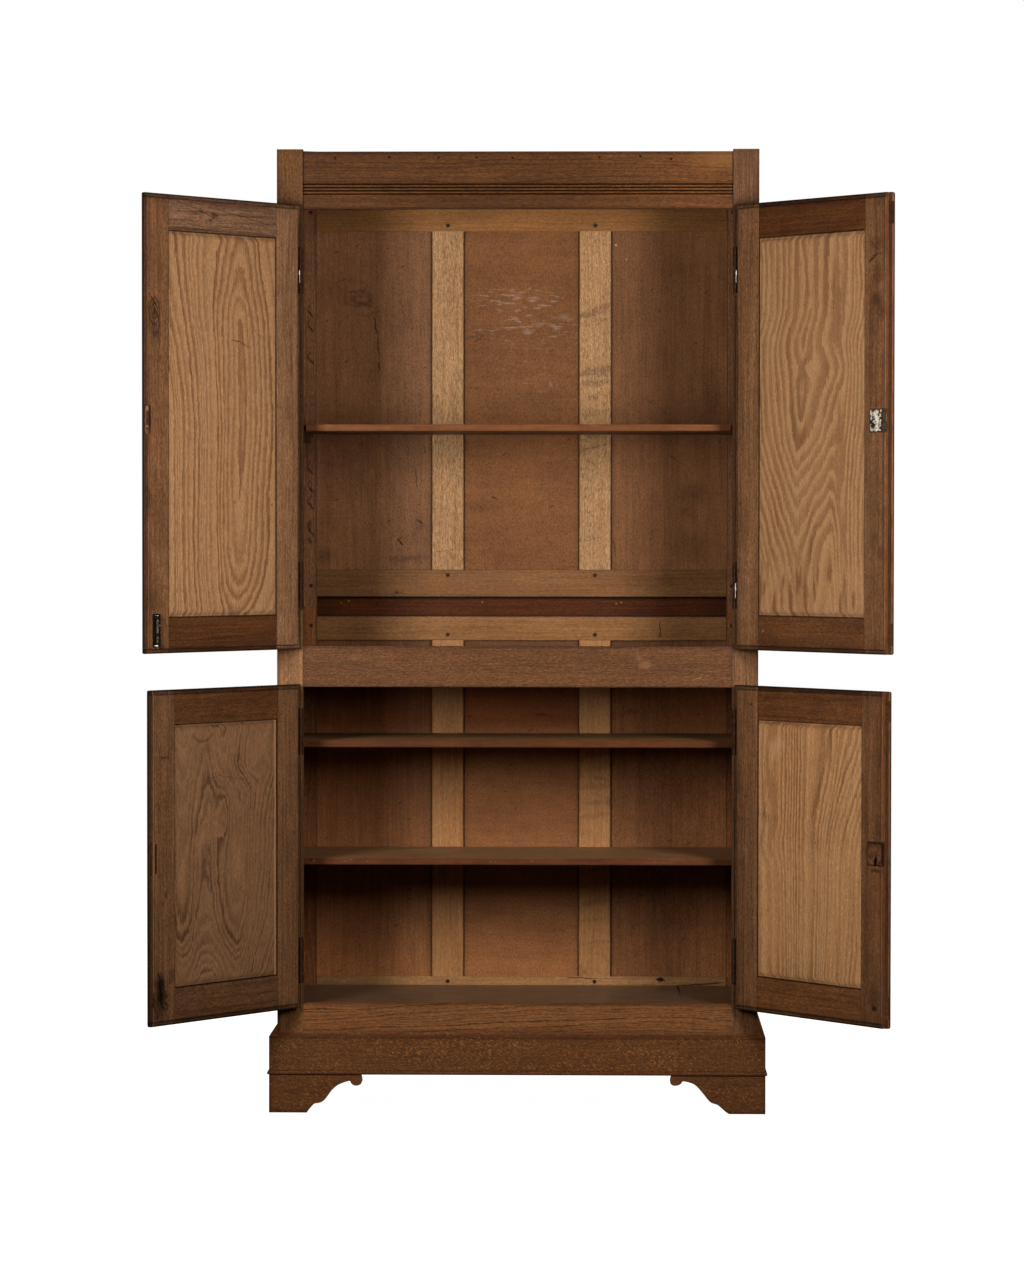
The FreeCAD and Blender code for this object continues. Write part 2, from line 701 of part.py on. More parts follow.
def door(name):
    side, ang, z0, z1, pz0, pz1, mx = DOORS[name]
    left = side < 0
    tag = name.split("_")[0]
    px0, px1 = HINGE_STILE, mx

    if left:
        body = rounded_block(EDGE_X, TONGUE_END - TONGUE_W, FRONT, FIELD_Y, z0, z1, "h", ROUND, "")
        tongue = box(TONGUE_END - TONGUE_W - 30, TONGUE_END, FIELD_Y - TONGUE_T, FIELD_Y, z0, z1)
        tongue = tongue.makeFillet(
            CORNER, edges_at(tongue, lambda q: q.YLength > TONGUE_T - 0.1 and near(q.XMax, TONGUE_END))
        )
        blank = body.fuse(tongue).removeSplitter()
        xe = TONGUE_END
    else:
        blank = rounded_block(EDGE_X, LAP_END, FRONT, FIELD_Y, z0, z1, "hm", ROUND, "m")
        blank = blank.cut(box(INNER_END, LAP_END + 5, FIELD_Y - REBATE_T, FIELD_Y + 5, z0 - 5, z1 + 5))
        xe = LAP_END

    lips = [
        box(EDGE_X - 5, EDGE_X + LIP_W, LIP_Y, FIELD_Y + 5, z0 - 5, z1 + 5),
        box(EDGE_X - 5, xe + 5, LIP_Y, FIELD_Y + 5, z1 - LIP_W, z1 + 5),
        box(EDGE_X - 5, xe + 5, LIP_Y, FIELD_Y + 5, z0 - 5, z0 + LIP_W),
    ]
    blank = blank.cut(lips)

    frame = blank.cut(box(px0, px1, FRONT - 5, FIELD_Y + 5, pz0, pz1))
    inner_edges = edges_at(
        frame,
        lambda q: near(q.YMin, FRONT) and near(q.YMax, FRONT)
        and q.XMin > px0 - 0.1 and q.XMax < px1 + 0.1 and q.ZMin > pz0 - 0.1 and q.ZMax < pz1 + 0.1,
    )
    frame = frame.makeFillet(4.0, inner_edges)
    field_edges = edges_at(
        frame,
        lambda q: near(q.YMin, FIELD_Y) and near(q.YMax, FIELD_Y)
        and (near(q.XMin, EDGE_X + LIP_W) or near(q.ZMin, z1 - LIP_W) or near(q.ZMax, z0 + LIP_W)
             or near(q.XMax, TONGUE_END if left else INNER_END))
        and (near(q.XMin, q.XMax) or near(q.ZMin, q.ZMax)),
    )
    frame = frame.makeChamfer(0.7, field_edges)
    frame = frame.cut(box(px0 - TONGUE, px1 + TONGUE, TENON_Y[0], TENON_Y[1], pz0 - TONGUE, pz1 + TONGUE))

    big = 3000
    hs = frame.common(box(-50, px0, -50, 50, 0, big))
    ms = frame.common(box(px1, 600, -50, 50, 0, big))
    top = frame.common(box(px0, px1, -50, 50, pz1, big))
    bot = frame.common(box(px0, px1, -50, 50, 0, pz0))

    through = px1 + 55.0 if left else xe + 5
    tz_top = (pz1 + TONGUE, z1 - 19.0)
    tz_bot = (z0 + 19.0, pz0 - TONGUE)
    for rail, tz in (("top", tz_top), ("bot", tz_bot)):
        t_h = box(px0 - 55.0, px0 + 5, TENON_Y[0], TENON_Y[1], tz[0], tz[1])
        t_m = box(px1 - 5, through, TENON_Y[0], TENON_Y[1], tz[0], tz[1]).common(blank)
        hs = hs.cut(t_h)
        ms = ms.cut(t_m)
        if rail == "top":
            top = top.fuse([t_h, t_m]).removeSplitter()
        else:
            bot = bot.fuse([t_h, t_m]).removeSplitter()

    # flush-backed panel with a rebated tongue
    g = 1.2
    field = box(px0 + g, px1 - g, TENON_Y[0], PANEL_BACK, pz0 + g, pz1 - g)
    field = field.makeChamfer(
        1.6, edges_at(field, lambda q: near(q.YMin, PANEL_BACK) and near(q.YMax, PANEL_BACK))
    )
    tng = box(px0 - TONGUE + 1, px1 + TONGUE - 1, TENON_Y[0], TENON_Y[1], pz0 - TONGUE + 1, pz1 + TONGUE - 1)
    panel = field.fuse(tng).removeSplitter()

    # hinges
    hinge_nodes = []
    for hz in HINGES[tag]:
        hs = hs.cut(
            [
                cyl(NOTCH_R, HINGE_H + 8.0, V(0, 0, hz - 4.0)),
                box(0, LEAF_W, LIP_Y - LEAF_T, LIP_Y, hz, hz + HINGE_H),
            ]
        )
        leaf = box(0.0, LEAF_W, LIP_Y - LEAF_T, LIP_Y, hz, hz + HINGE_H)
        cut = []
        for a in (0.0, 40.0, 80.0):
            lo = hz + a - (1 if a == 0 else 0.15)
            hi = hz + a + 20 + (1 if a == 80 else 0.15)
            cut.append(box(-1, 5.7, -6, 8, lo, hi))
        leaf = leaf.cut(cut)
        for a in (20.0, 60.0):
            k = cyl(KNUCKLE_R, 19.7, V(0, 0, hz + a + 0.15))
            leaf = leaf.fuse(k)
        leaf = leaf.removeSplitter().cut(cyl(PIN_R + PIN_CLEAR, 120, V(0, 0, hz - 10)))
        screws = []
        for h in (10.0, 50.0, 90.0):
            sc = csk_screw(V(7.3, LIP_Y, hz + h), V(0, -1, 0), 13.0)
            cone = Part.makeCone(2.6, 1.25, 1.5, V(7.3, LIP_Y, hz + h), V(0, -1, 0))
            rod = cyl(1.25, 11.5, V(7.3, LIP_Y - 1.5, hz + h), V(0, -1, 0))
            leaf = leaf.cut([cone, rod])
            hs = hs.cut([cone, rod])
            # the head is wider than the leaf's margin, so it bites into the lip too
            screws.append(sc)
        hinge_nodes += [leaf] + screws

    parts = {
        name + "_door_stiles": [hs, ms],
        name + "_door_rails": [top, bot],
        name + "_door_panel": [panel],
        name + "_door_hinges": hinge_nodes,
    }

    if not left:
        zc, kz = LOCKS[tag]
        h2 = LOCK_H / 2
        hole = cyl(2.8, 40, V(KEY_X, FRONT - 10, kz + 4.0), V(0, 1, 0)).fuse(
            box(KEY_X - 1.4, KEY_X + 1.4, FRONT - 10, FRONT + 30, kz - 7.0, kz + 4.0)
        )
        plate = box(LOCK_X0, INNER_END, FIELD_Y - 1.6, FIELD_Y, zc - h2, zc + h2)
        selv = box(INNER_END - 1.6, INNER_END, FIELD_Y - 7.4, FIELD_Y - 1.6, zc - h2, zc + h2)
        outer = box(LOCK_X0 + 3.5, INNER_END - 1.6, FIELD_Y - 8.2, FIELD_Y - 1.6, zc - h2 + 3.5, zc + h2 - 3.5)
        cavity = box(LOCK_X0 + 4.7, INNER_END - 1.6, FIELD_Y - 7.0, FIELD_Y - 1.6, zc - h2 + 4.7, zc + h2 - 4.7)
        case_env = plate.fuse([selv, outer]).removeSplitter()
        tongue_y = (1.2, 4.8)
        tongue_z = (zc - 2.0, zc + 17.0)
        window = box(INNER_END - 2.6, INNER_END + 1, tongue_y[0] - 0.1, tongue_y[1] + 0.1,
                     tongue_z[0] - 0.15, tongue_z[1] + 0.15)
        case = plate.fuse([selv, outer.cut(cavity)]).removeSplitter().cut([hole, window])
        ms2 = ms.cut([case_env, hole])
        parts[name + "_door_stiles"] = [hs, ms2]
        bolt = box(INNER_END - 33.0, INNER_END - 0.4, tongue_y[0], tongue_y[1], tongue_z[0], tongue_z[1])
        bolt = bolt.cut(box(KEY_X - 5.0, KEY_X + 5.5, 0, 8, tongue_z[0] - 1, tongue_z[0] + 8.0))
        parts[tag + "_lock_case"] = [case]
        parts[tag + "_lock_bolt"] = [bolt]
        esc = Part.makeCylinder(9.0, 1.0, V(KEY_X, FRONT - 1.0, kz + 4.0), V(0, 1, 0)).fuse(
            [
                Part.makeCylinder(6.5, 1.0, V(KEY_X, FRONT - 1.0, kz - 9.0), V(0, 1, 0)),
                box(KEY_X - 6.5, KEY_X + 6.5, FRONT - 1.0, FRONT, kz - 9.0, kz + 2.0),
            ]
        ).removeSplitter().cut(hole)
        parts[tag + "_escutcheon"] = [esc]
    else:
        zc, kz = LOCKS[tag]
        if tag == "upper":
            strike = [box(465.6, TONGUE_END + 2, 0.8, FIELD_Y + 2, 1459.0, 1522.0)]
        else:
            strike = [
                box(469.8, 474.3, 0.8, FIELD_Y + 2, 543.0, 611.0),
                box(465.0, TONGUE_END + 2, 0.8, 5.2, zc - 3.0, zc + 18.0),
            ]
        ms = ms.cut(strike)
        if tag == "upper":
            x = BARREL_X
            bz0, bz1 = BARREL_Z
            plate = box(x - 11, x + 11, FIELD_Y, FIELD_Y + 1.2, bz0, bz1)
            plate = plate.makeFillet(3.0, edges_at(plate, lambda q: q.YLength > 1.0 and q.XLength < 0.01 and q.ZLength < 0.01))
            guides = []
            for gz, gh in ((bz0 + 2.5, 8.0), (bz0 + 23.0, 7.0), (bz1 - 11.0, 8.0)):
                gd = box(x - 5.6, x + 5.6, FIELD_Y + 1.2, ROD_Y, gz, gz + gh).fuse(
                    cyl(5.6, gh, V(x, ROD_Y, gz)).common(
                        box(x - 9, x + 9, FIELD_Y + 1.2, FIELD_Y + 20, gz - 1, gz + gh + 1)
                    )
                )
                guides.append(gd)
            case = plate.fuse(guides).removeSplitter().cut(cyl(ROD_R + 0.05, 100, V(x, ROD_Y, bz0 - 10)))
            screws = []
            for sx in (-7.6, 7.6):
                for sz in (bz0 + 15.0, bz1 - 16.0):
                    p = V(x + sx, FIELD_Y + 1.2, sz)
                    cone = Part.makeCone(2.2, 1.25, 1.2, p, V(0, -1, 0))
                    rod = cyl(1.25, 8.0, p - V(0, 1.2, 0), V(0, -1, 0))
                    slot = box(p.x - 3, p.x + 3, p.y - 0.45, p.y + 0.5, p.z - 0.3, p.z + 0.3)
                    case = case.cut([cone, rod])
                    ms = ms.cut(rod)
                    screws.append(cone.fuse(rod).removeSplitter().cut(slot))
            rod = cyl(ROD_R, ROD_Z[1] - ROD_Z[0], V(x, ROD_Y, ROD_Z[0]))
            rod = rod.makeFillet(1.0, edges_at(rod, lambda q: near(q.ZMin, ROD_Z[0]) and near(q.ZMax, ROD_Z[0])))
            knob = cyl(2.3, 6.5, V(x, ROD_Y, bz0 + 45.5), V(0, 1, 0)).fuse(
                Part.makeSphere(3.1, V(x, ROD_Y + 6.8, bz0 + 45.5))
            )
            parts["barrel_bolt_case"] = [case] + screws
            parts["barrel_bolt_rod"] = [rod.fuse(knob).removeSplitter()]
        parts[name + "_door_stiles"] = [hs, ms]

    for node, shapes in parts.items():
        add(node, *[place_door(s, side, ang) for s in shapes])


for n in DOORS:
    door(n)

# ---------------------------------------------------------------- fixed hinge leaves
for tag, zs in HINGES.items():
    for hz in zs:
        leaf = box(-474.0, -HALF_OPEN, 0.0, LEAF_T, hz, hz + HINGE_H).fuse(
            box(-HALF_OPEN - LEAF_T, -HALF_OPEN, 0.0, 20.0, hz, hz + HINGE_H)
        )
        for a in (0.0, 40.0, 80.0):
            z0 = hz + a + (0.0 if a == 0 else 0.15)
            h = 19.85 if a in (0.0, 80.0) else 19.7
            leaf = leaf.fuse(cyl(KNUCKLE_R, h, V(-PIN_X, PIN_Y, z0)))
            leaf = leaf.fuse(box(-474.0, -470.2, -3.0, LEAF_T, z0, z0 + h))
        leaf = leaf.removeSplitter().cut(cyl(PIN_R, HINGE_H + 20, V(-PIN_X, PIN_Y, hz - 10)))
        screws = []
        for h in (14.0, 50.0, 86.0):
            p = V(-HALF_OPEN, 11.5, hz + h)
            cone = Part.makeCone(2.8, 1.3, LEAF_T, p, V(-1, 0, 0))
            rod = cyl(1.3, 16.0, p + V(-LEAF_T, 0, 0), V(-1, 0, 0))
            slot = box(p.x - 0.5, p.x + 0.5, p.y - 0.35, p.y + 0.35, p.z - 3, p.z + 3)
            leaf = leaf.cut(cone)
            screws.append(cone.fuse(rod).removeSplitter().cut(slot))
        pin = cyl(PIN_R, HINGE_H, V(-PIN_X, PIN_Y, hz))
        for zz, dz in ((hz + HINGE_H, 1), (hz, -1)):
            tip = Part.makeSphere(3.2, V(-PIN_X, PIN_Y, zz)).common(
                box(-PIN_X - 5, -PIN_X + 5, PIN_Y - 5, PIN_Y + 5, zz if dz > 0 else zz - 5, zz + 5 if dz > 0 else zz)
            )
            pin = pin.fuse(tip)
        pin = pin.removeSplitter()
        for sh in (leaf, *screws):
            add("carcass_hinge_leaves", sh, mirror(sh))
        add("hinge_pins", pin, mirror(pin))


# ---------------------------------------------------------------- export
def export(name, shapes):
    solids = []
    for s in shapes:
        for q in s.Solids:
            if q.Volume > 1.0:
                solids.append(q)
    moved = []
    for q in solids:
        q = q.copy()
        q.translate(V(0, FRONT_Y, 0))
        if not q.isValid():
            print("INVALID solid in", name)
        moved.append(q)
    shape = moved[0] if len(moved) == 1 else Part.makeCompound(moved)
    shape.exportStep("parts/%s.step" % name)
    b = shape.BoundBox
    return len(moved), b


lo = [1e9] * 3
hi = [-1e9] * 3
for name in sorted(NODES):
    n, b = export(name, NODES[name])
    lo = [min(a, c) for a, c in zip(lo, (b.XMin, b.YMin, b.ZMin))]
    hi = [max(a, c) for a, c in zip(hi, (b.XMax, b.YMax, b.ZMax))]
    print("%-28s %3d solids  x %.1f..%.1f  y %.1f..%.1f  z %.1f..%.1f" % (
        name, n, b.XMin, b.XMax, b.YMin, b.YMax, b.ZMin, b.ZMax))
print(len(NODES), "nodes; bounds", [round(v, 1) for v in lo], [round(v, 1) for v in hi])
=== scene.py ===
import math

import bpy
from mathutils import Matrix, Vector

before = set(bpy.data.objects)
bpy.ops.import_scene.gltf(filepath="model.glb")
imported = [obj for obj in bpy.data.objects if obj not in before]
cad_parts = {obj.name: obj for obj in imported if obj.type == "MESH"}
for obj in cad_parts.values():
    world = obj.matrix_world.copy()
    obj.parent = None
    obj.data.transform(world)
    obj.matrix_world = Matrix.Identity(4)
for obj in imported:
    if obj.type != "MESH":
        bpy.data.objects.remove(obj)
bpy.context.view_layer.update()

# Sizes that the looks share with the CAD model, in millimetres.
FRONT_Y = -40.0
PIN_X, PIN_Y = 471.7, -5.6
MUNTIN_C = 166.5
DOORS = {
    # side, opening angle, z0, z1, panel z0, z1, panel x0, x1 (from the pin)
    "upper_left": (-1, 128.9, 1004.0, 1961.0, 1078.0, 1886.5, 78.5, 406.0),
    "upper_right": (1, 130.2, 1004.0, 1961.0, 1078.0, 1886.5, 78.5, 405.0),
    "lower_left": (-1, 127.3, 227.5, 928.0, 303.5, 855.5, 78.5, 401.5),
    "lower_right": (1, 129.5, 227.5, 928.0, 303.5, 855.5, 78.5, 404.5),
}


def srgb(r, g, b, k=1.0):
    """Display colour 0-255 to linear, scaled by k."""
    out = []
    for c in (r, g, b):
        c /= 255.0
        c = c / 12.92 if c <= 0.04045 else ((c + 0.055) / 1.055) ** 2.4
        out.append(min(1.0, c * k))
    return tuple(out) + (1.0,)


# --------------------------------------------------------------- node helpers
class T:
    """Short hand for building a node tree. A value is a number, a tuple or a socket."""

    def __init__(self, tree):
        self.t = tree

    def new(self, kind, **props):
        n = self.t.nodes.new(kind)
        for k, v in props.items():
            setattr(n, k, v)
        return n

    def put(self, value, socket):
        if isinstance(value, bpy.types.NodeSocket):
            self.t.links.new(value, socket)
        elif value is not None:
            socket.default_value = value

    def m(self, op, a, b=None, c=None, clamp=False):
        n = self.new("ShaderNodeMath", operation=op, use_clamp=clamp)
        for v, s in zip((a, b, c), n.inputs):
            self.put(v, s)
        return n.outputs[0]

    def add(self, a, b):
        return self.m("ADD", a, b)

    def sub(self, a, b):
        return self.m("SUBTRACT", a, b)

    def mul(self, a, b):
        return self.m("MULTIPLY", a, b)

    def mad(self, a, b, c):
        return self.m("MULTIPLY_ADD", a, b, c)

    def comb(self, x, y, z):
        n = self.new("ShaderNodeCombineXYZ")
        for v, s in zip((x, y, z), n.inputs):
            self.put(v, s)
        return n.outputs[0]

    def sep(self, v):
        n = self.new("ShaderNodeSeparateXYZ")
        self.put(v, n.inputs[0])
        return n.outputs[0], n.outputs[1], n.outputs[2]

    def vm(self, op, a, b=None, scale=None):
        n = self.new("ShaderNodeVectorMath", operation=op)
        self.put(a, n.inputs[0])
        self.put(b, n.inputs[1])
        if scale is not None:
            self.put(scale, n.inputs["Scale"])
        return n.outputs["Value" if op in ("LENGTH", "DOT_PRODUCT", "DISTANCE") else "Vector"]

    def noise(self, vec, scale=1.0, detail=2.0, rough=0.5, dist=0.0):
        n = self.new("ShaderNodeTexNoise", noise_dimensions="3D")
        self.put(vec, n.inputs["Vector"])
        n.inputs["Scale"].default_value = scale
        n.inputs["Detail"].default_value = detail
        n.inputs["Roughness"].default_value = rough
        n.inputs["Distortion"].default_value = dist
        return n.outputs["Fac"]

    def noise1(self, w, scale=1.0, detail=1.0):
        n = self.new("ShaderNodeTexNoise", noise_dimensions="1D")
        self.put(w, n.inputs["W"])
        n.inputs["Scale"].default_value = scale
        n.inputs["Detail"].default_value = detail
        return n.outputs["Fac"]

    def rand1(self, w):
        n = self.new("ShaderNodeTexWhiteNoise", noise_dimensions="1D")
        self.put(w, n.inputs["W"])
        return n.outputs["Value"]

    def smooth(self, x, lo, hi, a=0.0, b=1.0):
        n = self.new("ShaderNodeMapRange", interpolation_type="SMOOTHSTEP")
        self.put(x, n.inputs["Value"])
        for v, s in zip((lo, hi, a, b), list(n.inputs)[1:5]):
            self.put(v, s)
        return n.outputs[0]

    def lin(self, x, lo, hi, a=0.0, b=1.0):
        n = self.new("ShaderNodeMapRange", interpolation_type="LINEAR", clamp=True)
        self.put(x, n.inputs["Value"])
        for v, s in zip((lo, hi, a, b), list(n.inputs)[1:5]):
            self.put(v, s)
        return n.outputs[0]

    def mix(self, f, a, b, blend="MIX"):
        n = self.new("ShaderNodeMix", data_type="RGBA", blend_type=blend)
        self.put(f, n.inputs[0])
        self.put(a, n.inputs[6])
        self.put(b, n.inputs[7])
        return n.outputs[2]

    def shade(self, colour, k):
        """colour multiplied by the grey value k."""
        return self.vm("SCALE", colour, scale=k)

    def curve(self, x, pts):
        """Smooth function of x through the points, level beyond them."""
        x0, x1 = pts[0][0], pts[-1][0]
        ys = [p[1] for p in pts]
        y0, y1 = min(ys), max(ys) + 1e-6
        n = self.new("ShaderNodeFloatCurve")
        c = n.mapping.curves[0].points
        for i, (a, b) in enumerate(pts):
            f = ((a - x0) / (x1 - x0), (b - y0) / (y1 - y0))
            if i == 0 or i == len(pts) - 1:
                c[0 if i == 0 else len(c) - 1].location = f
            else:
                c.new(*f)
        n.mapping.update()
        self.put(self.m("MULTIPLY_ADD", x, 1.0 / (x1 - x0), -x0 / (x1 - x0), clamp=True), n.inputs["Value"])
        return self.mad(n.outputs[0], y1 - y0, y0)

    def group(self, g, **vals):
        n = self.new("ShaderNodeGroup", node_tree=g)
        for k, v in vals.items():
            self.put(v, n.inputs[k])
        return n.outputs[0]


def make_group(name, inputs, build):
    g = bpy.data.node_groups.new(name, "ShaderNodeTree")
    for n, kind, default in inputs:
        s = g.interface.new_socket(name=n, in_out="INPUT", socket_type=kind)
        s.default_value = default
    g.interface.new_socket(name="Out", in_out="OUTPUT", socket_type="NodeSocketFloat")
    t = T(g)
    gi = t.new("NodeGroupInput")
    go = t.new("NodeGroupOutput")
    t.put(build(t, {s.name: s for s in gi.outputs if s.name}), go.inputs[0])
    return g


FL, VE = "NodeSocketFloat", "NodeSocketVector"


def _seg(t, i):
    """1 on a stroke from A to B (in the plane of the board), tapering to nothing at its ends."""
    ab = t.vm("SUBTRACT", i["B"], i["A"])
    ap = t.vm("SUBTRACT", i["P"], i["A"])
    k = t.m("DIVIDE", t.vm("DOT_PRODUCT", ap, ab), t.vm("DOT_PRODUCT", ab, ab), clamp=True)
    d = t.vm("LENGTH", t.vm("SUBTRACT", ap, t.vm("SCALE", ab, scale=k)))
    taper = t.mad(t.m("POWER", t.m("ABSOLUTE", t.mad(k, 2.0, -1.0)), 3.0), -0.75, 1.0)
    w = t.mul(i["Width"], taper)
    return t.smooth(d, w, t.mul(w, 0.25))


def _blob(t, i):
    """1 at the centre of an ellipse, 0 at its rim."""
    d = t.vm("LENGTH", t.vm("DIVIDE", t.vm("SUBTRACT", i["P"], i["C"]), i["R"]))
    return t.smooth(d, 1.0, i["Core"])


def _rect(t, i):
    """1 inside a rectangle with soft sides."""
    x, y, z = t.sep(i["P"])
    a0, a1, a2 = t.sep(i["A"])
    b0, b1, b2 = t.sep(i["B"])
    s = i["Soft"]
    fx = t.mul(t.smooth(x, t.sub(a0, s), t.add(a0, s)), t.smooth(x, t.add(b0, s), t.sub(b0, s)))
    fy = t.mul(t.smooth(y, t.sub(a1, s), t.add(a1, s)), t.smooth(y, t.add(b1, s), t.sub(b1, s)))
    return t.mul(fx, fy)


SEG = make_group("stroke", [("P", VE, (0, 0, 0)), ("A", VE, (0, 0, 0)), ("B", VE, (1, 0, 0)), ("Width", FL, 1.0)], _seg)
BLOB = make_group("blob", [("P", VE, (0, 0, 0)), ("C", VE, (0, 0, 0)), ("R", VE, (1, 1, 1)), ("Core", FL, 0.2)], _blob)
RECT = make_group("patch", [("P", VE, (0, 0, 0)), ("A", VE, (0, 0, 0)), ("B", VE, (1, 1, 0)), ("Soft", FL, 1.0)], _rect)


# --------------------------------------------------------------- wood
# red, green and blue of each surface against the plain tones given further down. These multipliers were matched per
# surface under the lamps, so they also paint in light and shade: above 1 they lighten what the lamps leave too dark,
# below 1 they darken what they leave too bright.
CAL = {
    "upper_left_hinge": (1.41, 1.51, 1.46),
    "upper_left_meeting": (1.00, 0.96, 0.79),
    "upper_left_top": (1.66, 1.83, 1.84),
    "upper_left_bottom": (0.77, 0.57, 0.31),
    "upper_left_panel": (0.88, 0.88, 0.87),
    "upper_right_hinge": (1.29, 1.38, 1.30),
    "upper_right_meeting": (1.03, 1.04, 0.94),
    "upper_right_top": (0.86, 0.77, 0.48),
    "upper_right_bottom": (1.16, 1.17, 0.94),
    "upper_right_panel": (0.88, 0.89, 0.86),
    "lower_left_hinge": (1.77, 1.80, 1.72),
    "lower_left_meeting": (1.62, 1.62, 1.45),
    "lower_left_top": (1.38, 1.27, 0.94),
    "lower_left_bottom": (1.60, 1.71, 1.60),
    "lower_left_panel": (1.16, 1.13, 1.07),
    "lower_right_hinge": (1.62, 1.65, 1.57),
    "lower_right_meeting": (1.43, 1.38, 1.21),
    "lower_right_top": (1.24, 1.15, 0.90),
    "lower_right_bottom": (1.69, 1.68, 1.39),
    "lower_right_panel": (1.12, 1.13, 1.12),
    "upper_stile_left": (0.91, 0.82, 0.52),
    "upper_stile_right": (0.90, 0.85, 0.69),
    "lower_stile_left": (1.23, 1.22, 1.08),
    "lower_stile_right": (1.13, 1.10, 0.98),
    "frieze": (0.63, 0.55, 0.32),
    "middle_rail": (0.79, 0.76, 0.58),
    "bottom_rail": (1.24, 1.20, 1.04),
    "upper_posts": (2.19, 2.34, 2.39),
    "lower_posts": (2.18, 1.94, 1.52),
    "side_frames": (1.08, 0.98, 0.75),
    "side_panels": (1.08, 0.98, 0.75),
    "top": (0.96, 0.84, 0.62),
    "upper_back_rail_top": (1.42, 1.30, 0.95),
    "upper_back_rail_bottom": (1.08, 1.03, 0.89),
    "lower_back_rail_top": (1.26, 1.21, 1.00),
    "lower_back_rail_bottom": (1.71, 1.80, 1.69),
    "upper_back_muntins": (0.94, 0.92, 0.87),
    "lower_back_muntins": (0.95, 0.80, 0.64),
    "upper_back_panel_left": (1.54, 1.40, 1.19),
    "upper_back_panel_middle": (0.91, 0.86, 0.66),
    "upper_back_panel_right": (1.40, 1.29, 1.05),
    "lower_back_panel_left": (1.74, 1.40, 1.02),
    "lower_back_panel_middle": (1.25, 1.18, 0.99),
    "lower_back_panel_right": (1.42, 1.23, 0.97),
    "joint_board": (1.06, 0.76, 0.04),
    "upper_shelf_edge": (0.80, 0.66, 0.35),
    "upper_shelf_top": (1.52, 1.36, 1.20),
    "middle_shelf_edge": (0.67, 0.52, 0.19),
    "middle_shelf_top": (1.96, 1.83, 1.60),
    "bottom_shelf_edge": (0.83, 0.71, 0.43),
    "bottom_shelf_top": (1.70, 1.68, 1.53),
    "dust_board_edge": (0.64, 0.59, 0.52),
    "dust_board_top": (1.08, 1.01, 0.82),
    "cleats": (0.77, 0.72, 0.52),
    "floor": (1.18, 1.31, 1.46),
    "pegs": (0.67, 0.62, 0.44),
    "plinth": (1.16, 1.08, 0.84),
    "plinth_returns": (1.12, 1.04, 0.81),
    "mouldings": (1.33, 1.18, 0.85),
    "feet": (1.33, 1.25, 0.97),
}


def case_coords(t):
    """Millimetres in the press, Y from the front face of the stiles."""
    c = t.new("ShaderNodeTexCoord").outputs["Object"]
    v = t.vm("SCALE", c, scale=1000.0)
    x, y, z = t.sep(v)
    return x, t.sub(y, FRONT_Y), z


def door_coords(t, door):
    """Millimetres on the closed door: x from the pin, y inwards, z up."""
    side, ang = DOORS[door][:2]
    x, y, z = case_coords(t)
    x = t.sub(x, side * PIN_X)
    y = t.sub(y, PIN_Y)
    a = math.radians(side * ang)
    c, s = math.cos(a), math.sin(a)
    # undo the rotation, then the mirroring of the right-hand doors
    lx = t.mad(x, c * -side, t.mul(y, s * -side))
    ly = t.mad(x, -s, t.mul(y, c))
    return lx, ly, z


def step(t, x, edge):
    return t.m("GREATER_THAN", x, edge)


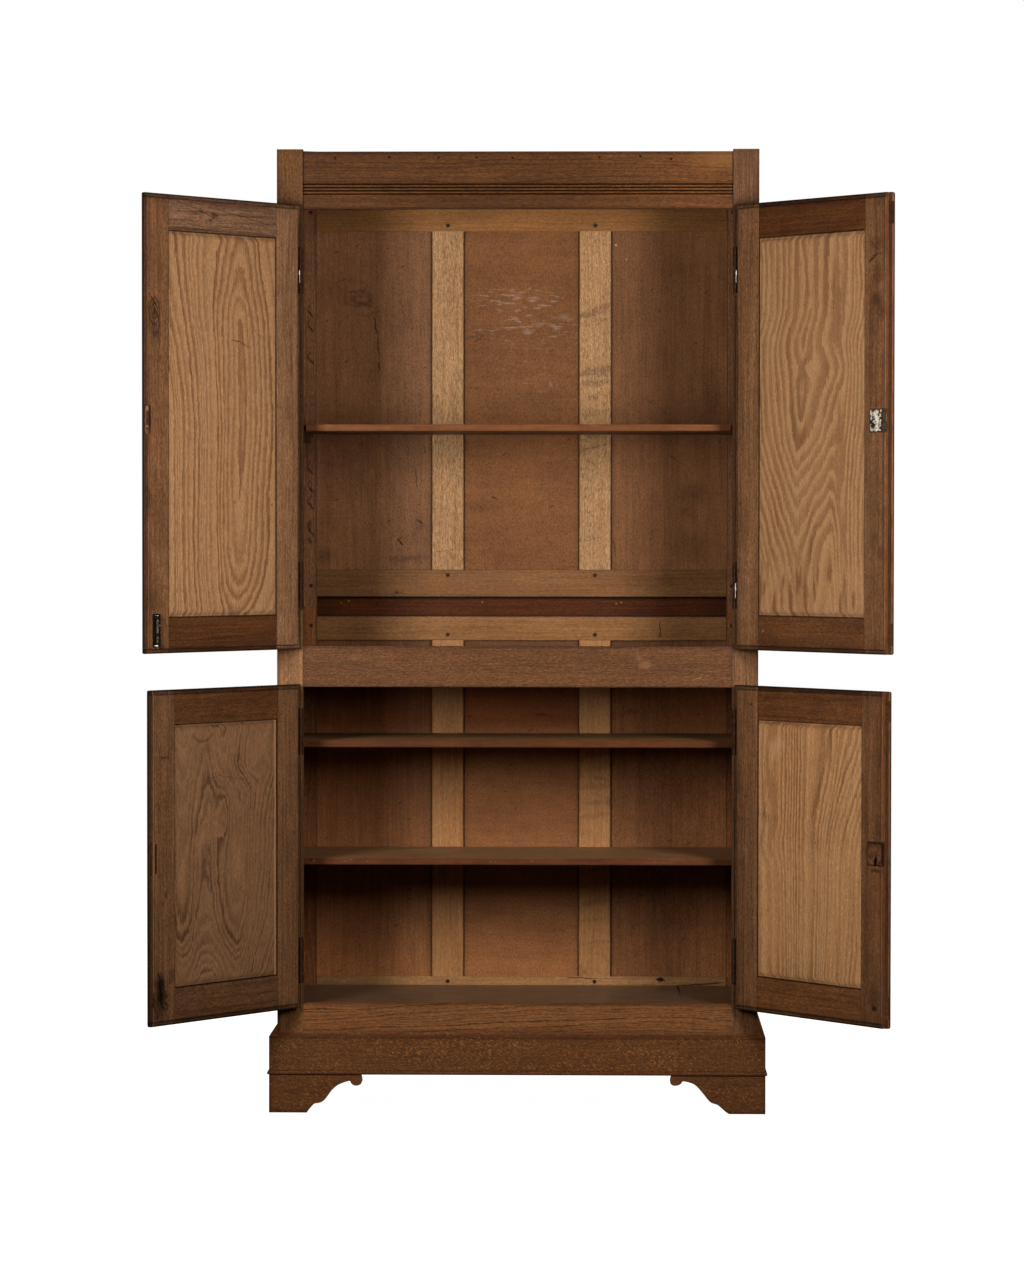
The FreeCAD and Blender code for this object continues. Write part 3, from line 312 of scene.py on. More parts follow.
class Wood:
    """One wooden surface: grain, pores, stains, marks and finish, built up by calls.

    cal scales red, green and blue of every tone of the surface, and so also paints in light and shade.
    """

    def __init__(self, name, coords, grain="z", seed=0.0, cal=(1.0, 1.0, 1.0)):
        self.mat = bpy.data.materials.new(name)
        self.mat.use_nodes = True
        self.mat.node_tree.nodes.clear()
        self.t = T(self.mat.node_tree)
        t = self.t
        self.x, self.y, self.z = coords(t)
        self.seed = seed
        self.cal = cal
        if grain == "z":
            self.u, self.v = self.z, self.x
        elif grain == "x":
            self.u, self.v = self.x, self.z
        elif grain == "xy":      # boards that lie flat, grain along x
            self.u, self.v = self.x, self.y
        elif grain == "yz":      # side boards, grain along z
            self.u, self.v = self.z, self.y
        elif grain == "yx":      # side boards, grain along y
            self.u, self.v = self.y, self.z
        self.w = self.y if grain in ("z", "x") else (self.z if grain == "xy" else self.x)
        self.wb = seed * 37.0    # depth offset, so that no two boards share a figure
        self.face = None         # where the listed marks lie: 1 on that face only
        self.colour = None

    def tone(self, r, g, b, k=1.0):
        c = srgb(r, g, b, k)
        return (min(c[0] * self.cal[0], 1.0), min(c[1] * self.cal[1], 1.0), min(c[2] * self.cal[2], 1.0), 1.0)

    def boards(self, mask, jump=311.0):
        """A second board where mask is 1: moves the figure somewhere else."""
        self.wb = self.t.mad(mask, jump, self.wb)

    def q(self, su, sv, extra=0.0):
        """Noise coordinates with features about su mm long and sv mm wide."""
        t = self.t
        return t.comb(
            t.mul(self.u, 1.0 / su), t.mul(self.v, 1.0 / sv),
            t.mul(t.add(t.add(self.w, self.wb), extra), 1.0 / sv),
        )

    def n(self, su, sv, extra=0.0, detail=2.0, rough=0.5):
        """Noise between about -1 and 1."""
        return self.t.mad(self.t.noise(self.q(su, sv, extra), 1.0, detail, rough), 4.0, -2.0)

    def hump(self, u0, v0, su, sv):
        t = self.t
        a = t.mul(t.sub(self.u, u0), 1.0 / su)
        b = t.mul(t.sub(self.v, v0), 1.0 / sv)
        return t.m("EXPONENT", t.mul(t.mad(a, a, t.mul(b, b)), -0.5))

    def pith(self, v0, depth, warp=(6.0, 260.0, 80.0), left=None, right=None, core=40.0, sharp=1.7, dense=0.0):
        """Distance from the pith: v0 is its place across the board (or points along it),
        depth its distance behind the face (points along the board). left and right are
        points of the stretch of the figure on each side, outside the core."""
        t = self.t
        v = t.mad(self.n(warp[1], warp[2], 11.0), warp[0], self.v)
        c = t.curve(self.u, v0) if isinstance(v0, list) else v0
        d = t.curve(self.u, depth) if isinstance(depth, list) else depth
        dv = t.sub(v, c)
        outer = t.m("MAXIMUM", t.sub(dv, core), 0.0)
        if left or right:
            far_l = t.m("MAXIMUM", t.sub(dv, core), 0.0)
            far_r = t.m("MAXIMUM", t.sub(t.mul(dv, -1.0), core), 0.0)
            if left:
                dv = t.sub(dv, t.mul(far_l, t.sub(1.0, t.m("DIVIDE", 1.0, t.curve(self.u, left)))))
            if right:
                dv = t.add(dv, t.mul(far_r, t.sub(1.0, t.m("DIVIDE", 1.0, t.curve(self.u, right)))))
        if dense:
            dv = t.mad(outer, dense, dv)
        a = t.m("POWER", t.m("ABSOLUTE", dv), sharp)
        return t.m("POWER", t.add(a, t.m("POWER", t.m("ABSOLUTE", d), sharp)), 1.0 / sharp)

    def bands(self, r, spacing, jag=(0.14, 34.0, 4.5), band=(0.25, 0.78, 0.93), vary=0.5, wander=1.0, streak=0.5, offset=0.0):
        """Growth rings: latewood 0 to 1 from the distance r."""
        t = self.t
        ph = t.mad(r, 1.0 / spacing, offset)
        ph = t.mad(self.n(jag[1], jag[2], 5.0, 3.0, 0.6), jag[0], ph)
        if wander:
            ph = t.mad(t.noise1(t.mad(r, 1.0 / (spacing * 3.1), self.seed), 1.0), wander * 2.0, ph)
        no = t.m("FLOOR", ph)
        f = t.m("FRACT", ph)
        late = t.mul(t.smooth(f, band[0], band[1]), t.smooth(f, 1.0, band[2]))
        if vary:
            late = t.mul(late, t.mad(t.rand1(t.add(no, self.seed)), vary, 1.0 - vary))
        if streak:
            late = t.mul(late, t.mad(t.noise(self.q(75.0, 2.6, 61.0), 1.0, 2.0), streak * 2.0, 1.0 - streak))
        return t.m("MINIMUM", late, 1.0)

    def pores(self, length=9.0, width=1.1, lo=0.58, hi=0.72):
        t = self.t
        return t.smooth(t.noise(self.q(length, width, 23.0), 1.0, 2.0, 0.6), lo, hi)

    def base(self, light, dark, fac):
        self.colour = self.t.mix(fac, self.tone(*light), self.tone(*dark))

    def tint(self, fac, colour, blend="MIX"):
        self.colour = self.t.mix(fac, self.colour, colour, blend)

    def darken(self, fac, amount):
        """Multiply by 1 - amount where fac is 1. A negative amount lightens."""
        self.colour = self.t.shade(self.colour, self.t.mad(fac, -amount, 1.0))

    def mottle(self, su, sv, amount, detail=3.0, extra=50.0):
        k = self.t.mad(self.n(su, sv, extra, detail, 0.55), amount, 1.0)
        self.colour = self.t.shade(self.colour, self.t.m("MAXIMUM", k, 0.25))

    def grit(self, amount, length=9.0, width=2.4):
        """Fibre and dust at the scale of a few millimetres."""
        self.mottle(length, width, amount, 2.0, 523.0)

    def scale(self, k, other=None, mask=None):
        """Multiply the colour by k, or by other where mask is 1."""
        t = self.t
        if other is None:
            self.colour = t.vm("MULTIPLY", self.colour, tuple(k))
        else:
            self.colour = t.vm("MULTIPLY", self.colour, t.comb(*[t.mad(mask, b - a, a) for a, b in zip(k, other)]))

    def clouds(self, size, amount, extra=0.0, detail=3.0):
        """Stains that don't follow the grain."""
        t = self.t
        v = t.vm("SCALE", t.comb(self.x, self.y, t.add(self.z, self.seed * 71.0 + extra)), scale=1.0 / size)
        k = t.mad(t.mad(t.noise(v, 1.0, detail, 0.6), 4.0, -2.0), amount, 1.0)
        self.colour = t.shade(self.colour, t.m("MAXIMUM", k, 0.25))

    def hue(self, su, sv, amount, extra=90.0):
        """Slow drift between redder and yellower."""
        t = self.t
        n = self.n(su, sv, extra)
        self.colour = t.vm("MULTIPLY", self.colour, t.comb(1.0, t.mad(n, amount, 1.0), t.mad(n, amount * 2.2, 1.0)))

    def plane(self, amp=0.0, size=12.0):
        """Coordinates of the face, a little shaken if amp is given, for marks placed one by one."""
        t = self.t
        p = t.comb(self.x, self.z, 0.0)
        if not amp:
            return p
        n = t.new("ShaderNodeTexNoise", noise_dimensions="3D")
        t.put(p, n.inputs["Vector"])
        n.inputs["Scale"].default_value = 1.0 / size
        n.inputs["Detail"].default_value = 3.0
        off = t.vm("MULTIPLY", t.vm("SUBTRACT", n.outputs["Color"], (0.5, 0.5, 0.5)), (amp * 4.0, amp * 4.0, 0.0))
        return t.vm("ADD", p, off)

    def apply(self, g, amount, colour):
        if self.face is not None:
            g = self.t.mul(g, self.face)
        if colour is None:
            self.darken(g, amount)
        else:
            self.tint(self.t.mul(g, amount), self.tone(*colour))
        return g

    def stroke(self, p, a, b, width, amount=0.6, colour=None):
        return self.apply(self.t.group(SEG, P=p, A=(a[0], a[1], 0.0), B=(b[0], b[1], 0.0), Width=width), amount, colour)

    def blob(self, p, c, r, amount=0.5, core=0.2, colour=None):
        return self.apply(self.t.group(BLOB, P=p, C=(c[0], c[1], 0.0), R=(r[0], r[1], 1.0), Core=core), amount, colour)

    def patch(self, p, a, b, soft, amount=0.5, colour=None):
        return self.apply(self.t.group(RECT, P=p, A=(a[0], a[1], 0.0), B=(b[0], b[1], 0.0), Soft=soft), amount, colour)

    def nicks(self, cell=26.0, size=(0.9, 3.2), amount=0.6, keep=0.5, angle=0.0, extra=0.0):
        """Short dark nicks, one at most in each cell of the face."""
        t = self.t
        ca, sa = math.cos(angle), math.sin(angle)
        a = t.mad(self.x, ca, t.mul(self.z, sa))
        b = t.mad(self.x, -sa, t.mul(self.z, ca))
        gx, gz = t.m("FLOOR", t.mad(a, 1.0 / cell, extra)), t.m("FLOOR", t.mad(b, 1.0 / cell, extra))
        h = t.mad(gx, 7.31, t.mad(gz, 3.17, self.seed + extra))
        cx = t.mul(t.add(gx, t.mad(t.rand1(h), 0.7, 0.15 - extra)), cell)
        cz = t.mul(t.add(gz, t.mad(t.rand1(t.add(h, 51.3)), 0.7, 0.15 - extra)), cell)
        k = t.mad(t.rand1(t.add(h, 17.7)), 1.2, 0.4)
        dx = t.m("DIVIDE", t.sub(a, cx), t.mul(k, size[1]))
        dz = t.m("DIVIDE", t.sub(b, cz), t.mul(k, size[0]))
        d = t.m("SQRT", t.mad(dx, dx, t.mul(dz, dz)))
        on = step(t, t.rand1(t.add(h, 93.1)), 1.0 - keep)
        self.darken(t.mul(t.smooth(d, 1.0, 0.35), on), amount)

    def finish(self, rough=0.5, rough_var=0.1, bump=0.25, spec=0.3, relief=None):
        t = self.t
        out = t.new("ShaderNodeOutputMaterial")
        b = t.new("ShaderNodeBsdfPrincipled")
        t.put(self.colour, b.inputs["Base Color"])
        n = t.noise(self.q(60.0, 25.0, 140.0), 1.0, 4.0, 0.6)
        t.put(t.mad(n, rough_var * 2.0, rough - rough_var), b.inputs["Roughness"])
        b.inputs["Specular IOR Level"].default_value = spec
        g = t.noise(self.q(16.0, 1.0, 200.0), 1.0, 3.0, 0.6)
        h = t.mul(g, 0.6)
        if relief is not None:
            h = t.mad(relief, -1.0, h)
        bm = t.new("ShaderNodeBump")
        bm.inputs["Strength"].default_value = bump
        bm.inputs["Distance"].default_value = 0.0005
        t.put(h, bm.inputs["Height"])
        t.put(bm.outputs["Normal"], b.inputs["Normal"])
        t.t.links.new(b.outputs[0], out.inputs["Surface"])
        return self.mat


def dress(node, mat):
    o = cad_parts[node]
    o.data.materials.clear()
    o.data.materials.append(mat)
    return o


def soften(o, width=0.0005, segments=2):
    m = o.modifiers.new("arris", "BEVEL")
    m.width = width
    m.segments = segments
    m.limit_method = "ANGLE"
    m.angle_limit = math.radians(40)
    m.use_clamp_overlap = True
    m.miter_outer = "MITER_SHARP"
    return o


# ---- door frames
#         stiles: light, dark        rails: light, dark
FRAME_LOOK = {
    "upper_left": ((128, 89, 62), (84, 53, 33), (112, 77, 55), (62, 38, 25)),
    "upper_right": ((118, 80, 53), (76, 46, 27), (98, 60, 36), (58, 32, 17)),
    "lower_left": ((98, 66, 42), (58, 36, 22), (86, 54, 32), (50, 29, 16)),
    "lower_right": ((100, 66, 42), (58, 36, 21), (96, 60, 35), (58, 33, 18)),
}


def door_frame(door, part, seed):
    """Stiles or rails of one door."""
    side, ang, z0, z1, pz0, pz1, px0, px1 = DOORS[door]
    stiles = part == "stiles"
    s = Wood("%s_%s_wood" % (door, part), lambda t: door_coords(t, door), "z" if stiles else "x", seed, (1.0, 1.0, 1.0))
    t = s.t
    second = step(t, s.x, 240.0) if stiles else step(t, s.z, (z0 + z1) / 2)
    s.boards(second, 211.0)
    look = FRAME_LOOK[door]
    light, dark = look[0:2] if stiles else look[2:4]
    g = t.mad(s.n(260.0, 7.0, 1.0, 3.0, 0.6), 0.30, 0.42)
    late = s.bands(t.mad(s.n(300.0, 60.0, 3.0), 12.0, s.v), 9.0, (0.35, 60.0, 4.0), (0.2, 0.8, 0.95), 0.8, 1.0, 0.6)
    s.base(light, dark, t.m("MINIMUM", t.m("MAXIMUM", t.mad(late, 0.35, g), 0.0), 1.0))
    s.mottle(150.0, 34.0, 0.16)
    s.mottle(34.0, 7.0, 0.09, 4.0, 66.0)
    s.clouds(34.0, 0.11)
    s.hue(200.0, 40.0, 0.05)
    s.grit(0.40)
    s.mottle(4.6, 2.8, 0.30, 1.0, 577.0)
    po = s.pores(11.0, 1.5, 0.56, 0.70)
    s.darken(po, 0.34)
    s.scale(*[CAL["%s_%s" % (door, n)] for n in (("hinge", "meeting") if stiles else ("bottom", "top"))], second)
    s.second = second
    s.part = part
    s.door = door
    s.inner = t.smooth(s.y, -1.0, 3.0)
    return s, po


def edge_dirt(s):
    """Dirt where the frame's joints are, along the door's edges and beside the panel."""
    t = s.t
    side, ang, z0, z1, pz0, pz1, px0, px1 = DOORS[s.door]
    end = TONGUE_END if side < 0 else LAP_END
    p = s.plane(0.35, 9.0)
    for x, a in ((px0, 0.75), (px1, 0.35 if s.door == "lower_left" else 0.62)):
        s.patch(p, (x - 0.8, z0), (x + 0.8, z1), 0.5, a)
    for z in (pz0, pz1):
        s.patch(p, (px0, z - 0.55), (px1, z + 0.55), 0.5, 0.62)
    # the lip around the inner face: dark, with a thin rubbed arris
    n = t.mul(s.n(38.0, 9.0, 31.0, 3.0), 1.8)
    d = t.m("MINIMUM", t.sub(s.x, EDGE_X), t.m("MINIMUM", t.sub(s.z, z0), t.sub(z1, s.z)))
    s.darken(t.mul(t.smooth(t.add(d, n), 11.0, 7.5), s.inner), 0.50)
    s.darken(t.mul(t.smooth(t.m("ABSOLUTE", t.sub(d, 9.4)), 2.4, 0.9), s.inner), 0.50)
    s.darken(t.mul(t.smooth(t.m("ABSOLUTE", t.sub(d, 6.2)), 2.0, 0.6), t.mul(s.inner, t.smooth(s.n(70.0, 30.0, 35.0), -0.3, 0.6))), -0.65)
    s.darken(t.mul(t.smooth(t.add(d, t.mul(n, 0.4)), 3.6, 1.4), s.inner), 0.72)
    # the edges of the door itself are darkened nearly to black
    s.darken(t.mul(t.smooth(s.y, 5.0, 4.2), t.smooth(s.y, -12.2, -11.0)), 0.58 if side < 0 else 0.38)
    # wider, softer grime
    s.darken(t.mul(t.smooth(t.mad(n, 5.0, d), 42.0, 8.0), s.inner), 0.16)
    # and a bleached, rubbed look elsewhere
    s.clouds(90.0, 0.09, 700.0, 4.0)
    if s.part == "stiles":
        e = t.sub(end, s.x)
        wear = t.mad(t.smooth(s.n(26.0, 12.0, 35.0, 3.0), -0.8, 0.6), 0.6, 0.4)
        s.darken(t.smooth(t.mad(n, 3.0, e), 24.0, 2.0), 0.22 if side < 0 else 0.10)
        # the rebate is dark; its arris on the face is rubbed down to copper-coloured wood
        s.darken(t.smooth(t.m("ABSOLUTE", t.sub(s.x, INNER_END - 3.6)), 1.6, 0.7), 0.35)
        s.darken(t.smooth(s.x, INNER_END + 0.4, INNER_END + 1.2), 0.34 if side < 0 else 0.12)
        s.tint(t.mul(t.mul(t.smooth(t.m("ABSOLUTE", t.sub(s.x, INNER_END - 0.9)), 1.7, 0.8), wear), {"lower_left": 0.7, "upper_left": 0.25}.get(s.door, 0.22)), s.tone(150, 90, 55))
        if side > 0:
            # the lap's own edge: dark, with a lighter rubbed line along its arris
            s.darken(t.mul(t.smooth(s.y, -6.2, -7.4), t.smooth(s.y, -12.1, -11.5)), 0.55)
            s.tint(t.mul(t.mul(t.smooth(e, 0.9, 0.3), t.mul(t.smooth(s.y, -6.4, -5.4), wear)), 0.42), s.tone(168, 106, 72))
        else:
            s.darken(t.smooth(t.mad(n, 0.5, e), 4.0, 1.6), 0.45)


TONGUE_END, LAP_END, INNER_END, EDGE_X = 475.7, 477.1, 466.5, 1.2


def marks_upper_left(s, part):
    p, wv = s.plane(), s.plane(1.6, 13.0)
    if part == "stiles":
        # a knot like a half-closed eye on the meeting stile, and the bruises round it
        s.blob(wv, (448, 1706), (26, 48), 0.30)
        s.blob(wv, (444, 1664), (22, 34), 0.30)
        for r, a in ((18, 0.72), (11, 0.65)):
            g = s.t.group(BLOB, P=wv, C=(447, 1716, 0), R=(r, r * 1.9, 1.0), Core=0.75)
            h = s.t.group(BLOB, P=wv, C=(447, 1716, 0), R=(r - 3, r * 1.9 - 5, 1.0), Core=0.75)
            s.apply(s.t.m("MAXIMUM", s.t.sub(g, h), 0.0), a, None)
        s.blob(wv, (447, 1714), (8, 15), 0.6)
        s.stroke(wv, (464, 1756), (438, 1722), 2.2, 0.75)
        s.stroke(wv, (458, 1746), (432, 1692), 1.8, 0.7)
        s.stroke(wv, (430, 1700), (438, 1666), 2.0, 0.7)
        s.stroke(wv, (466, 1738), (462, 1690), 1.6, 0.6)
        s.stroke(wv, (468, 1766), (446, 1738), 1.4, -0.6)
        s.stroke(wv, (452, 1738), (436, 1710), 1.2, -0.45)
        s.blob(wv, (440, 1668), (16, 12), 0.4)
        s.blob(wv, (470, 1470), (9, 90), 0.35)
        s.blob(wv, (466, 1325), (12, 60), 0.4)
        s.blob(wv, (452, 1120), (38, 95), 0.32)
        s.blob(wv, (430, 1265), (30, 110), 0.16)
        # copper-coloured wear beside the strike of the lock, between dark patches of painted shade where its recess is
        s.patch(p, (458.0, 1461), (475.0, 1521), 0.9, 0.60)
        s.patch(wv, (466.3, 1461), (469.2, 1519), 0.9, 0.80, (186, 120, 80))
        s.patch(p, (458.6, 1474), (462.0, 1519), 0.9, 0.80)
        s.patch(wv, (1.0, 1020), (12.0, 1940), 3.0, 0.25)
    else:
        # shakes and a bruise in the top rail
        for a, b, w in (((395, 1951), (300, 1930), 1.1), ((318, 1934), (242, 1908), 1.3), ((300, 1943), (150, 1921), 1.1), ((205, 1930), (84, 1909), 1.2),
                        ((282, 1896), (180, 1905), 0.9), ((372, 1906), (300, 1899), 0.8), ((180, 1904), (110, 1894), 0.8), ((300, 1950), (240, 1945), 0.9)):
            s.stroke(wv, a, b, w, 0.6)
        s.blob(wv, (268, 1923), (17, 10), 0.65)
        s.blob(wv, (280, 1912), (9, 6), 0.55)
        s.patch(wv, (80, 1886), (404, 1893), 3.0, 0.35)


def marks_upper_right(s, part):
    p, wv = s.plane(), s.plane(1.6, 13.0)
    if part == "stiles":
        s.stroke(wv, (415, 1818), (440, 1834), 4.0, 0.75)
        s.stroke(wv, (430, 1832), (458, 1836), 2.6, 0.65)
        s.stroke(wv, (416, 1868), (446, 1842), 1.8, 0.5)
        s.blob(wv, (440, 1856), (30, 22), 0.30)
        s.blob(wv, (446, 1790), (26, 30), 0.34)
        s.blob(wv, (440, 1740), (26, 20), 0.46)
        s.blob(wv, (455, 1715), (18, 28), 0.36)
        s.blob(wv, (452, 1770), (14, 12), -0.22)
        s.blob(wv, (424, 1700), (16, 60), 0.16)
        s.blob(wv, (436, 1245), (20, 26), 0.34)
        s.blob(wv, (452, 1215), (18, 22), 0.30)
        s.blob(wv, (430, 1290), (22, 120), 0.35, 0.1, (92, 70, 38))
        s.stroke(wv, (412, 1640), (409, 1600), 1.6, 0.45)
        # the place where the lock is let in
        s.patch(p, (419.4, 1464.6), (467, 1514.4), 0.9, 0.70)
        s.blob(wv, (444, 1524), (30, 12), 0.22)
    else:
        s.blob(p, (93, 1046), (3.2, 3.6), 0.8, 0.4, (170, 130, 90))
        s.stroke(wv, (90, 1049), (100, 1040), 1.2, 0.6)


def marks_lower_left(s, part):
    p, wv = s.plane(), s.plane(1.8, 12.0)
    if part == "stiles":
        s.stroke(wv, (420, 786), (446, 789), 3.0, 0.5)
        s.stroke(wv, (432, 790), (446, 780), 1.4, 0.5)
        s.blob(wv, (428, 786), (26, 12), 0.18)
        s.stroke(wv, (430, 716), (452, 709), 1.3, 0.30)
        s.stroke(wv, (408, 718), (438, 720), 1.1, 0.25)
        s.blob(wv, (427, 500), (5, 14), 0.6)
        s.blob(wv, (437, 482), (8, 7), 0.5)
        # black knot and stain at the foot of the meeting stile
        rg = s.plane(9.0, 26.0)
        s.blob(rg, (444, 286), (44, 78), 0.62, 0.1)
        s.blob(rg, (446, 304), (22, 46), 0.80, 0.2)
        s.stroke(rg, (456, 340), (436, 262), 5.0, 0.80)
        s.stroke(rg, (430, 326), (424, 240), 3.6, 0.65)
        s.stroke(rg, (470, 300), (452, 236), 4.0, 0.75)
        s.stroke(rg, (424, 312), (452, 322), 3.0, 0.6)
        s.stroke(rg, (420, 270), (440, 290), 2.4, 0.55)
        s.stroke(wv, (418, 292), (434, 286), 2.6, 0.5)
        s.stroke(wv, (412, 318), (430, 308), 2.0, 0.45)
        s.blob(wv, (408, 330), (18, 26), 0.35)
        # the strike: copper-coloured wood beside a dark slot, which is painted shade
        s.patch(wv, (462.4, 543), (466.0, 611), 0.8, 0.45, (150, 98, 64))
        s.patch(s.plane(1.2, 5.0), (455.5, 545), (461.4, 609), 0.8, 0.88)
        s.blob(wv, (40, 560), (20, 60), 0.22)
    else:
        s.stroke(wv, (228, 907), (228, 893), 2.4, 0.35)
        s.stroke(wv, (330, 905), (400, 899), 1.2, -0.18)


def marks_lower_right(s, part):
    p, wv = s.plane(), s.plane(1.8, 12.0)
    if part == "stiles":
        s.patch(p, (444, 604), (470, 609), 1.0, 0.65)
        s.stroke(wv, (438, 640), (446, 606), 3.0, 0.45)
        s.patch(s.plane(0.6, 8.0), (421, 612.2), (468, 615.4), 0.9, 0.8)
        s.blob(wv, (455, 640), (16, 46), 0.40)
        s.patch(p, (422, 563), (468, 613), 1.4, 0.40)
        s.blob(wv, (448, 556), (26, 6), 0.55)
        s.stroke(wv, (466, 545), (460, 330), 3.6, 0.30, (104, 56, 34))
        s.stroke(wv, (455, 520), (452, 380), 2.2, 0.25, (100, 56, 34))
        s.stroke(wv, (404, 494), (404, 484), 2.6, 0.8)
        s.blob(wv, (443, 292), (26, 34), 0.35)
        s.blob(wv, (444, 268), (11, 9), 0.9)
        s.stroke(wv, (436, 280), (452, 264), 1.8, 0.6)
        s.blob(p, (57, 888), (3.6, 3.6), 0.85, 0.4)
        s.blob(wv, (40, 690), (8, 5), 0.45)
        s.patch(wv, (68, 227), (79, 930), 4.0, -0.16)
    else:
        s.patch(wv, (80, 920), (470, 928), 3.0, 0.3)


MARKS = {
    "upper_left": marks_upper_left, "upper_right": marks_upper_right,
    "lower_left": marks_lower_left, "lower_right": marks_lower_right,
}

# ---- door panels
PANEL_LOOK = {
    "upper_left": ((168, 124, 84), (120, 78, 48)),
    "upper_right": ((166, 123, 84), (120, 79, 49)),
    "lower_right": ((164, 120, 79), (126, 86, 53)),
    "lower_left": ((116, 83, 57), (74, 49, 32)),
}


def door_panel(door, seed):
    s = Wood("%s_panel_wood" % door, lambda t: door_coords(t, door), "z", seed, CAL[door + "_panel"])
    t = s.t
    side, ang, z0, z1, pz0, pz1, px0, px1 = DOORS[door]
    # the grain curls where the edges of the panel are thinned into the frame
    dz = t.m("MINIMUM", t.sub(s.z, pz0), t.sub(pz1, s.z))
    flat = s.v
    s.v = t.mad(t.smooth(dz, 15.0, 0.0), t.mad(s.n(40.0, 28.0, 9.0), 9.0, -13.0), s.v)
    if door == "upper_left":
        r = s.pith([(1078, 200), (1160, 193), (1360, 190), (1560, 184), (1720, 188), (1800, 190), (1887, 180)],
                   [(1078, 74), (1119, 56), (1160, 38), (1240, 22), (1363, 15), (1480, 8), (1600, 9), (1680, 12), (1720, 18), (1770, 34), (1862, 52), (1887, 60)],
                   (6.0, 200.0, 60.0),
                   left=[(1078, 1.0), (1500, 1.0), (1600, 1.12), (1700, 1.4), (1800, 1.8), (1887, 2.2)], dense=0.30,
                   right=[(1078, 1.1), (1400, 1.2), (1700, 1.0), (1887, 0.8)])
        late = s.bands(r, 15.5, (0.26, 30.0, 3.0), (0.25, 0.76, 0.95), 0.6, 1.1, 0.7)
    elif door == "upper_right":
        # nested tongues that point down, open at the top, with a hook to the right of the eye
        axis = t.curve(s.z, [(1078, 208), (1180, 206), (1238, 201), (1293, 199), (1386, 200), (1470, 208), (1534, 213), (1592, 214), (1640, 214), (1740, 238), (1887, 236)])
        v2 = t.mad(s.n(150.0, 60.0, 11.0), 5.0, t.sub(s.v, axis))
        r = t.curve(v2, [(-160, 116), (-136, 94), (-115, 78), (-95, 62), (-73, 46), (-51, 31), (-33, 18), (-14, 6), (0, 0), (13, 5), (34, 14), (58, 27), (80, 38),
                         (102, 48), (128, 58), (140, 72), (151, 87), (165, 103), (200, 140)])
        g = t.curve(s.z, [(1078, 106), (1120, 101), (1180, 94), (1238, 83), (1293, 68), (1341, 53), (1386, 38), (1425, 25), (1470, 12), (1515, 4), (1560, 1), (1600, 2), (1700, -2), (1887, -4)])
        r = t.mad(g, t.mad(t.smooth(s.v, 296.0, 356.0), -0.86, 1.0), r)
        r = t.mad(s.hump(1604.0, 222.0, 18.0, 18.0), 9.0, r)
        r = t.mad(s.hump(1602.0, 296.0, 30.0, 40.0), -17.0, r)
        r = t.mad(s.hump(1650.0, 128.0, 50.0, 60.0), -9.0, r)
        r = t.mad(s.n(140.0, 60.0, 17.0, 3.0), 3.4, r)
        late = s.bands(r, 14.5, (0.16, 30.0, 3.0), (0.16, 0.66, 0.95), 0.35, 0.35, 0.45)
        late = t.mul(late, t.mad(t.smooth(s.n(260.0, 50.0, 37.0), -0.4, 0.8), 0.34, 0.62))
        late = t.mul(late, t.mad(t.smooth(s.z, 1215.0, 1150.0), -0.45, 1.0))
        # broad darker streaks near the top, patches near the bottom
        late = t.m("MAXIMUM", late, t.mul(t.smooth(s.n(420.0, 20.0, 401.0), 0.25, 0.9), t.mul(t.smooth(s.z, 1600.0, 1750.0), 0.6)))
        late = t.m("MAXIMUM", late, t.mul(t.group(BLOB, P=s.plane(5.0, 40.0), C=(318, 1740, 0), R=(20, 130, 1), Core=0.5), t.mad(s.n(60.0, 4.0, 405.0), 0.3, 0.72)))
        late = t.m("MAXIMUM", late, t.mul(t.group(BLOB, P=s.plane(5.0, 40.0), C=(330, 1420, 0), R=(18, 150, 1), Core=0.5), t.mad(s.n(60.0, 4.0, 407.0), 0.3, 0.55)))
        late = t.m("MAXIMUM", late, t.mul(t.smooth(s.n(120.0, 17.0, 431.0, 3.0), 0.0, 0.6), t.mul(t.smooth(s.z, 1250.0, 1160.0), 0.95)))
    elif door == "lower_right":
        # close upright lines, leaning away to the right higher up
        lean = t.curve(s.z, [(303, -22), (450, -10), (600, 0), (680, 24), (752, 48), (800, 56), (856, 60)])
        v2 = t.sub(t.mad(s.n(200.0, 60.0, 11.0), 4.0, s.v), t.mul(lean, t.smooth(s.v, 195.0, 380.0)))
        r = t.curve(v2, [(60, 0), (110, 10), (150, 28), (228, 106), (262, 118), (300, 158), (340, 190), (410, 236)])
        r = t.mad(s.hump(770.0, 112.0, 95.0, 17.0), 15.0, r)
        r = t.mad(s.hump(590.0, 118.0, 26.0, 40.0), 9.0, r)
        r = t.mad(s.hump(838.0, 400.0, 60.0, 30.0), -22.0, r)
        late = s.bands(r, 10.0, (0.22, 36.0, 3.0), (0.20, 0.78, 0.95), 0.5, 0.4, 0.5)
        late = t.mul(late, t.mad(t.mul(t.smooth(s.v, 142.0, 156.0), t.smooth(s.v, 246.0, 226.0)), 0.45, 0.95))
        late = t.mul(late, t.mad(t.smooth(s.z, 540.0, 660.0), 0.50, t.mad(t.smooth(s.z, 400.0, 310.0), 0.50, 0.70)))
        late = t.mul(late, t.mad(t.smooth(s.n(330.0, 60.0, 37.0), -0.2, 0.8), 0.45, 0.85))
        late = t.m("MAXIMUM", late, t.mul(t.smooth(s.n(230.0, 5.5, 401.0, 3.0), 0.10, 0.8), 0.60))
    else:
